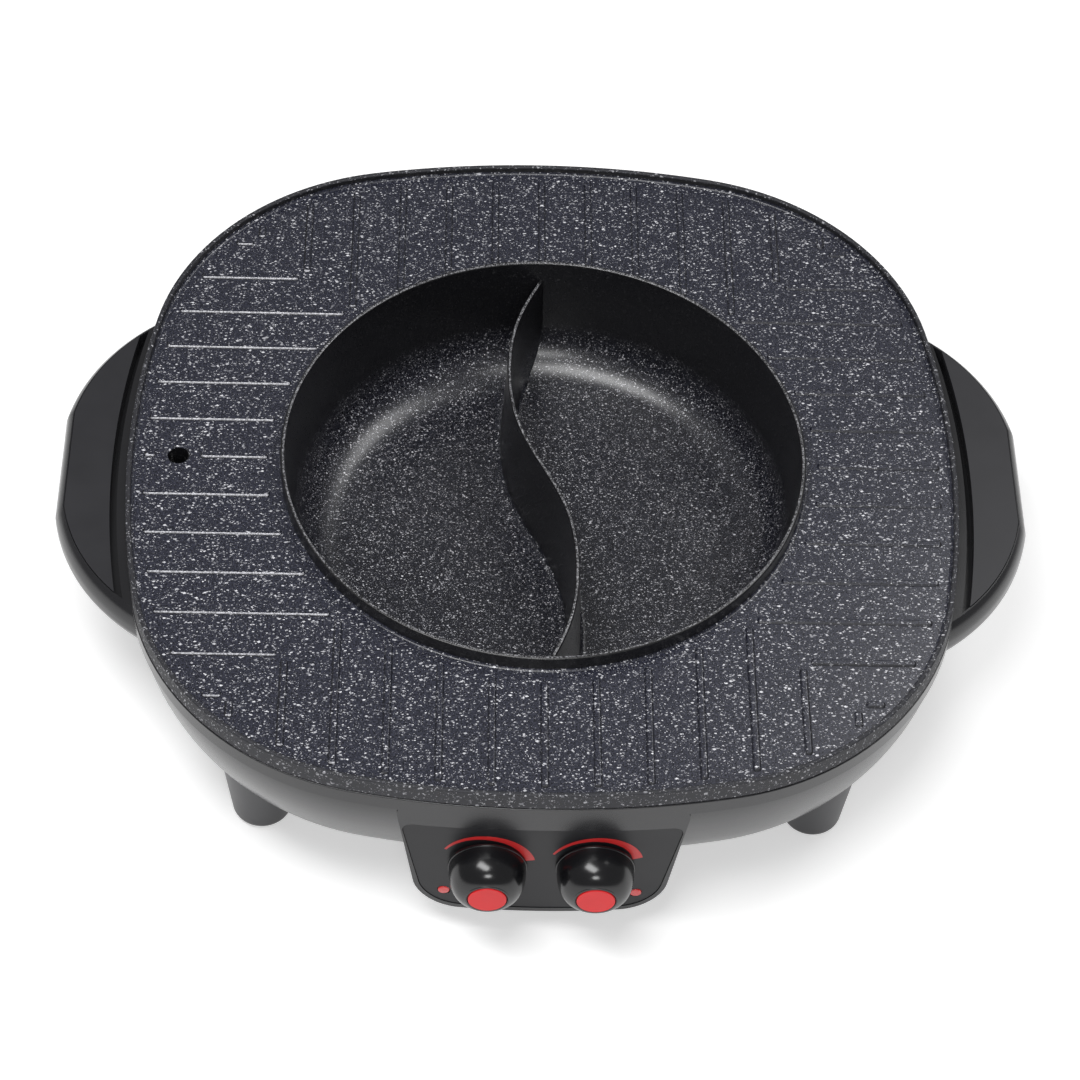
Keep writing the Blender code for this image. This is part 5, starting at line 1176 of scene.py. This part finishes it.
def build_feet():
    level = bowl_level(FOOT_REACH)
    height, deep = level + FOOT_OVERLAP, level - FOOT_SCREW_SEAT
    hole = SCREW_RADIUS + SEAT_GAP
    profile = [(hole, deep), (FOOT_BORE_RADIUS, deep), (FOOT_BORE_RADIUS, 0)]
    profile += arc(FOOT_RADIUS - FOOT_EDGE, FOOT_EDGE, FOOT_EDGE, -QUARTER, 0, 9)
    profile += [(FOOT_RADIUS + tan(FOOT_TAPER) * height, height), (hole, height)]
    for name, (x, y) in zip(FOOT_NAMES, FOOT_PLACES):
        foot = move(turned(profile), x, y)
        room = [square_ring(SEAT_GAP, PLATE_TOP)] + bowl_rings(-SEAT_GAP)
        cut(foot, loft(room))
        dress(smooth(foot, 35), name + "_body", FOOT, "base", "matt_black_plastic", name)


# Pieces seen when the pan is off, and those under and behind the base

TUBE_RADIUS = 3.3 * MM
REFLECTOR_SHEET = 0.8 * MM
REFLECTOR_RIM_GAP = 0.4 * MM
REFLECTOR_LEDGE_INSET = 11 * MM
REFLECTOR_THROAT_RADIUS = 150 * MM
REFLECTOR_TAPER = 10 * MM
LEDGE_TOP = PLATE_TOP - 20 * MM
DISH_FLOOR = BOWL_FLOOR + 12.2 * MM
POT_ELEMENT_RADIUS = 88 * MM
POT_ELEMENT_LEVEL = WELL_FLOOR - WELL_WALL - SEAT_GAP - TUBE_RADIUS
GRILL_ELEMENT_RADIUS = 170.37 * MM
GRILL_ELEMENT_LEVEL = PLATE_TOP - PLATE_THICKNESS - SEAT_GAP - TUBE_RADIUS
ELEMENT_LEG_SPREAD = 15 * MM
ELEMENT_BEND = 8 * MM
LEG_HOLE_GAP = 1.2 * MM
LEG_BELOW = 3 * MM
COVER_OVERLAP = 11 * MM
COVER_RADIUS = SERVICE_RADIUS + COVER_OVERLAP
COVER_SCREW_REACH = (SERVICE_RADIUS + COVER_OVERLAP / 2) * sqrt(0.5)
COVER_THICKNESS = 2 * MM
COVER_EDGE = 0.5 * MM
VENT_COUNT = 6
VENT_HALF = SERVICE_RADIUS * 0.175
VENT_HALF_WIDTH = 1.8 * MM
VENT_CORNER = VENT_HALF_WIDTH * 0.98
VENT_REACH = SERVICE_RADIUS * 0.65
SCREW_HEAD_RADIUS = 4.2 * MM
SCREW_HEAD_HEIGHT = 2.6 * MM
SCREW_HEAD_EDGE = 1.3 * MM
SCREW_SLOT_WIDTH = 1.2 * MM
INLET_DEPTH = 18 * MM
INLET_BEZEL = 3 * MM
INLET_BEZEL_THICKNESS = 2 * MM
INLET_BEZEL_EDGE = 0.6 * MM
INLET_WALL = 2 * MM
INLET_PIN_HALF_WIDTH = 1 * MM
INLET_PIN_HALF_HEIGHT = 2 * MM
INLET_PIN_SPACING = 7 * MM
INLET_PIN_RISE = 2.5 * MM


def element_legs(radius):
    depth = sqrt(radius ** 2 - ELEMENT_LEG_SPREAD ** 2)
    return [(-ELEMENT_LEG_SPREAD, -depth), (ELEMENT_LEG_SPREAD, -depth)]


def build_reflector():
    rim, throat = REBATE_OFFSET - REFLECTOR_RIM_GAP, REFLECTOR_THROAT_RADIUS
    rings = []
    for lift in (REFLECTOR_SHEET, 0):
        wall, seat = rim - REBATE_WIDTH - lift, REBATE_TOP + SEAT_GAP + lift
        ledge, dish_floor = [level - REFLECTOR_SHEET + lift for level in (LEDGE_TOP, DISH_FLOOR)]
        face = [
            square_ring(rim, seat),
            square_ring(wall, seat),
            square_ring(-REFLECTOR_LEDGE_INSET - lift, ledge),
            round_ring(throat - lift, ledge),
            round_ring(throat - REFLECTOR_TAPER - lift, dish_floor),
        ]
        rings += face[::-1] if lift else face
    dish = loft(rings)
    high = LEDGE_TOP + OVERRUN
    legs = element_legs(POT_ELEMENT_RADIUS) + element_legs(GRILL_ELEMENT_RADIUS)
    cut(dish, posts(TUBE_RADIUS + LEG_HOLE_GAP, legs, DISH_FLOOR - OVERRUN, high))
    bore(dish, GREASE_TUBE_RADIUS, [(-DRAIN_REACH, 0)], DISH_FLOOR, high)
    dress(smooth(dish, 25), "reflector", STEEL, "base", "plated_steel", "heat_reflector")


def build_element(name, radius, level, foot):
    """One turn of tube, open at the front, with both ends bent down into legs."""
    right_x, front_y = element_legs(radius)[1]
    right = [(right_x, front_y, foot - LEG_BELOW)]
    bend = arc(ELEMENT_BEND, -ELEMENT_BEND, ELEMENT_BEND, 2 * QUARTER, QUARTER, 8)
    right += [(right_x + u, front_y, level + v) for u, v in bend[:-1]]
    half_gap = atan2(right_x + ELEMENT_BEND, -front_y)
    turn = arc(0, 0, radius, half_gap - QUARTER, 3 * QUARTER - half_gap, 160)
    left = [(-x, y, z) for x, y, z in reversed(right)]
    points = right + [(x, y, level) for x, y in turn] + left
    curve = bpy.data.curves.new("tube", "CURVE")
    curve.dimensions = "3D"
    curve.bevel_depth = TUBE_RADIUS
    curve.bevel_resolution = 5
    curve.use_fill_caps = True
    spline = curve.splines.new("POLY")
    spline.points.add(len(points) - 1)
    for place, point in zip(spline.points, points):
        place.co = (*point, 1)
    tube = new_object("tube", curve)
    sheath = new_object("sheath", plain_mesh(tube))
    bpy.data.objects.remove(tube, do_unlink=True)
    dress(smooth(sheath, 50), name + "_sheath", SHEATH, "base", "element_sheath", name)


def build_bottom_cover():
    top = BOWL_FLOOR - SEAT_GAP
    foot = top - COVER_THICKNESS
    cover = soften(rod(COVER_RADIUS, (0, 0, foot), (0, 0, top), 128), COVER_EDGE)
    slot = rounded_box(-VENT_HALF, VENT_HALF, -VENT_HALF_WIDTH, VENT_HALF_WIDTH, VENT_CORNER, 8)
    low, high = foot - OVERRUN, top + OVERRUN
    for number in range(VENT_COUNT):
        turn = Matrix.Rotation(2 * pi / VENT_COUNT * (number + 0.5), 4, "Z")
        vent = plate(slot, low, high)
        vent.data.transform(turn @ Matrix.Translation((VENT_REACH, 0, 0)))
        cut(cover, vent)
    bore(cover, SCREW_RADIUS, four_corners(COVER_SCREW_REACH), low, high)
    dress(smooth(cover, 35), "cover_plate", SATIN, "base", "matt_black_plastic", "bottom_cover")


def build_screws():
    edge, half = SCREW_HEAD_EDGE, SCREW_SLOT_WIDTH / 2
    reach = SCREW_HEAD_RADIUS + OVERRUN
    slot = rounded_box(-reach, reach, -half, half, 0)
    for name in sorted(name for name in nodes if re.search(r"_screw_\d$", name)):
        low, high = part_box(name)
        head = low.z + SCREW_HEAD_HEIGHT
        profile = [(0, low.z)]
        profile += arc(SCREW_HEAD_RADIUS - edge, low.z + edge, edge, -QUARTER, 0, 6)
        profile += [(SCREW_HEAD_RADIUS, head), (SCREW_RADIUS, head)]
        profile += [(SCREW_RADIUS, high.z - SCREW_RADIUS), (0, high.z)]
        screw = turned(profile, 48)
        cut(screw, plate(slot, low.z - OVERRUN, low.z + SCREW_SLOT_WIDTH))
        middle = (low + high) / 2
        move(screw, middle.x, middle.y - CENTRE_SHIFT)
        dress(smooth(screw, 40), name + "_body", STEEL, "base", "plated_steel", name)


def build_inlet():
    face = outline_reach(POD_OFFSET, 0) + SEAT_GAP
    back, front = face - INLET_DEPTH, face + INLET_BEZEL_THICKNESS
    body = plate(inlet_points(0), back, face + INLET_BEZEL_THICKNESS / 2, "Y")
    bezel = plate(inlet_points(INLET_BEZEL), face, front, "Y")
    join(body, soften(bezel, INLET_BEZEL_EDGE))
    mouth = inlet_points(-INLET_WALL)
    cut(body, plate(mouth, back + INLET_WALL, face + OVERRUN, "Y"))
    half, up = INLET_PIN_HALF_WIDTH + SEAT_GAP, INLET_PIN_HALF_HEIGHT + SEAT_GAP
    for x, rise in ((-INLET_PIN_SPACING, -1), (INLET_PIN_SPACING, -1), (0, 1)):
        height = INLET_CENTRE + rise * INLET_PIN_RISE
        slot = rounded_box(x - half, x + half, height - up, height + up, 0)
        cut(body, plate(slot, back - OVERRUN, back + OVERRUN, "Y"))
    dress(smooth(body, 35), "inlet_shell", SATIN, "base", "matt_black_plastic", "power_inlet")


# Printed arcs

ARC_OUTER = 23.1 * MM
ARC_THICK, ARC_THIN = 5 * MM, 1.1 * MM
ARC_START, ARC_END = radians(12.5), radians(154)
ARC_STEPS = 64
PRINT_RISE = 0.05 * MM


def build_dial_arc(name, x):
    """A printed arc that widens with the heat, laid on the curved face plate."""
    shape = bmesh.new()
    rows = []
    for step in range(ARC_STEPS + 1):
        share = step / ARC_STEPS
        angle = ARC_START + share * (ARC_END - ARC_START)
        thick = ARC_THICK + share * (ARC_THIN - ARC_THICK)
        row = []
        for radius in (ARC_OUTER, ARC_OUTER - thick / 2, ARC_OUTER - thick):
            across = x + radius * cos(angle)
            front = -outline_reach(PANEL_FACE_OFFSET, across) - PRINT_RISE
            row.append(shape.verts.new((across, front, KNOB_LEVEL + radius * sin(angle))))
        rows.append(row)
    for a, b in zip(rows, rows[1:]):
        for i in range(len(a) - 1):
            shape.faces.new((a[i], a[i + 1], b[i + 1], b[i]))
    item = object_from_bmesh(shape)
    item.modifiers.new("thickness", "SOLIDIFY").thickness = PRINT_RISE
    dress(settle(item), name, PRINT, "base", "red_cap_plastic")


build_pan()
build_housing()
build_handle_covers()
build_face_plate()
build_controls()
build_feet()
build_reflector()
build_element("pot_heating_element", POT_ELEMENT_RADIUS, POT_ELEMENT_LEVEL, DISH_FLOOR)
build_element("grill_heating_element", GRILL_ELEMENT_RADIUS, GRILL_ELEMENT_LEVEL, LEDGE_TOP)
build_bottom_cover()
build_screws()
build_inlet()
build_dial_arc("dial_arc_pot", -KNOB_REACH)
build_dial_arc("dial_arc_grill", KNOB_REACH)


# Camera, floor and lights

CAMERA_POINT = Vector((-0.04603, -1.06794 + CENTRE_SHIFT, 1.24115 + PLATE_TOP))
CAMERA_RIGHT = Vector((0.99946102, -0.00365684, 0.03262371))
CAMERA_UP = Vector((-0.01783262, 0.77389123, 0.63306742))
SENSOR_WIDTH = 36
FOCAL_PIXELS = 3230.824
PHOTO_PIXELS = 1080
FLOOR_REACH = 6.0
FLOOR_COLOUR = (0.86, 0.86, 0.86)
FLOOR_GLOW = 0.42
WORLD_STRENGTH = 0.26
LIGHTS = (
    # name, place, target, size, power
    ("left", (-0.3, -0.35, 1.32), (0, 0, 0.1), (0.85, 0.42), 12.5),
    ("right", (0.62, 0.4, 1.15), (0, 0, 0.1), (0.6, 0.36), 4.5),
    ("front", (0, -1.2, 0.95), (0, -0.15, 0.06), (0.35, 0.3), 4),
)


def camera():
    data = bpy.data.cameras.new("camera")
    data.sensor_width = SENSOR_WIDTH
    data.lens = FOCAL_PIXELS * SENSOR_WIDTH / PHOTO_PIXELS
    data.clip_end = 20
    item = new_object("camera", data)
    axes = Matrix((CAMERA_RIGHT, CAMERA_UP, CAMERA_RIGHT.cross(CAMERA_UP))).transposed().to_4x4()
    axes.translation = CAMERA_POINT
    item.matrix_world = axes
    scene.camera = item


def floor():
    """White to the camera, in reflections and through clear parts, and otherwise lit normally."""
    mesh = bpy.data.meshes.new("floor")
    mesh.from_pydata([(x, y, 0) for x, y in four_corners(FLOOR_REACH)], [], [(0, 1, 2, 3)])
    item = new_object("floor", mesh)
    g = Graph("floor_white")
    rays = g.node("ShaderNodeLightPath").outputs
    seen = rays["Is Camera Ray"]
    for name in ("Is Glossy Ray", "Is Transmission Ray"):
        seen = g.math("ADD", seen, rays[name])
    g.set(Base_Color=FLOOR_COLOUR, Roughness=0.9, Specular_IOR_Level=0.0,
          Emission_Color=(1, 1, 1), Emission_Strength=g.times(seen, FLOOR_GLOW))
    item.data.materials.append(g.material)


def area_light(name, place, target, size, power):
    data = bpy.data.lights.new(name, "AREA")
    data.shape = "RECTANGLE"
    data.size, data.size_y = size
    data.energy = power
    item = new_object(name, data)
    item.location = place
    item.rotation_euler = (Vector(target) - Vector(place)).to_track_quat("-Z", "Y").to_euler()


def world(strength):
    """White to the camera, and soft light of that strength for the rest."""
    scene.world = bpy.data.worlds.new("world")
    g = Graph("world", scene.world, "Background")
    seen = g.node("ShaderNodeLightPath").outputs["Is Camera Ray"]
    g.set(Color=(1, 1, 1), Strength=g.ramp(seen, 0, 1, strength, 1))


camera()
floor()
world(WORLD_STRENGTH)
for light in LIGHTS:
    area_light(*light)
scene.view_settings.view_transform = "Standard"
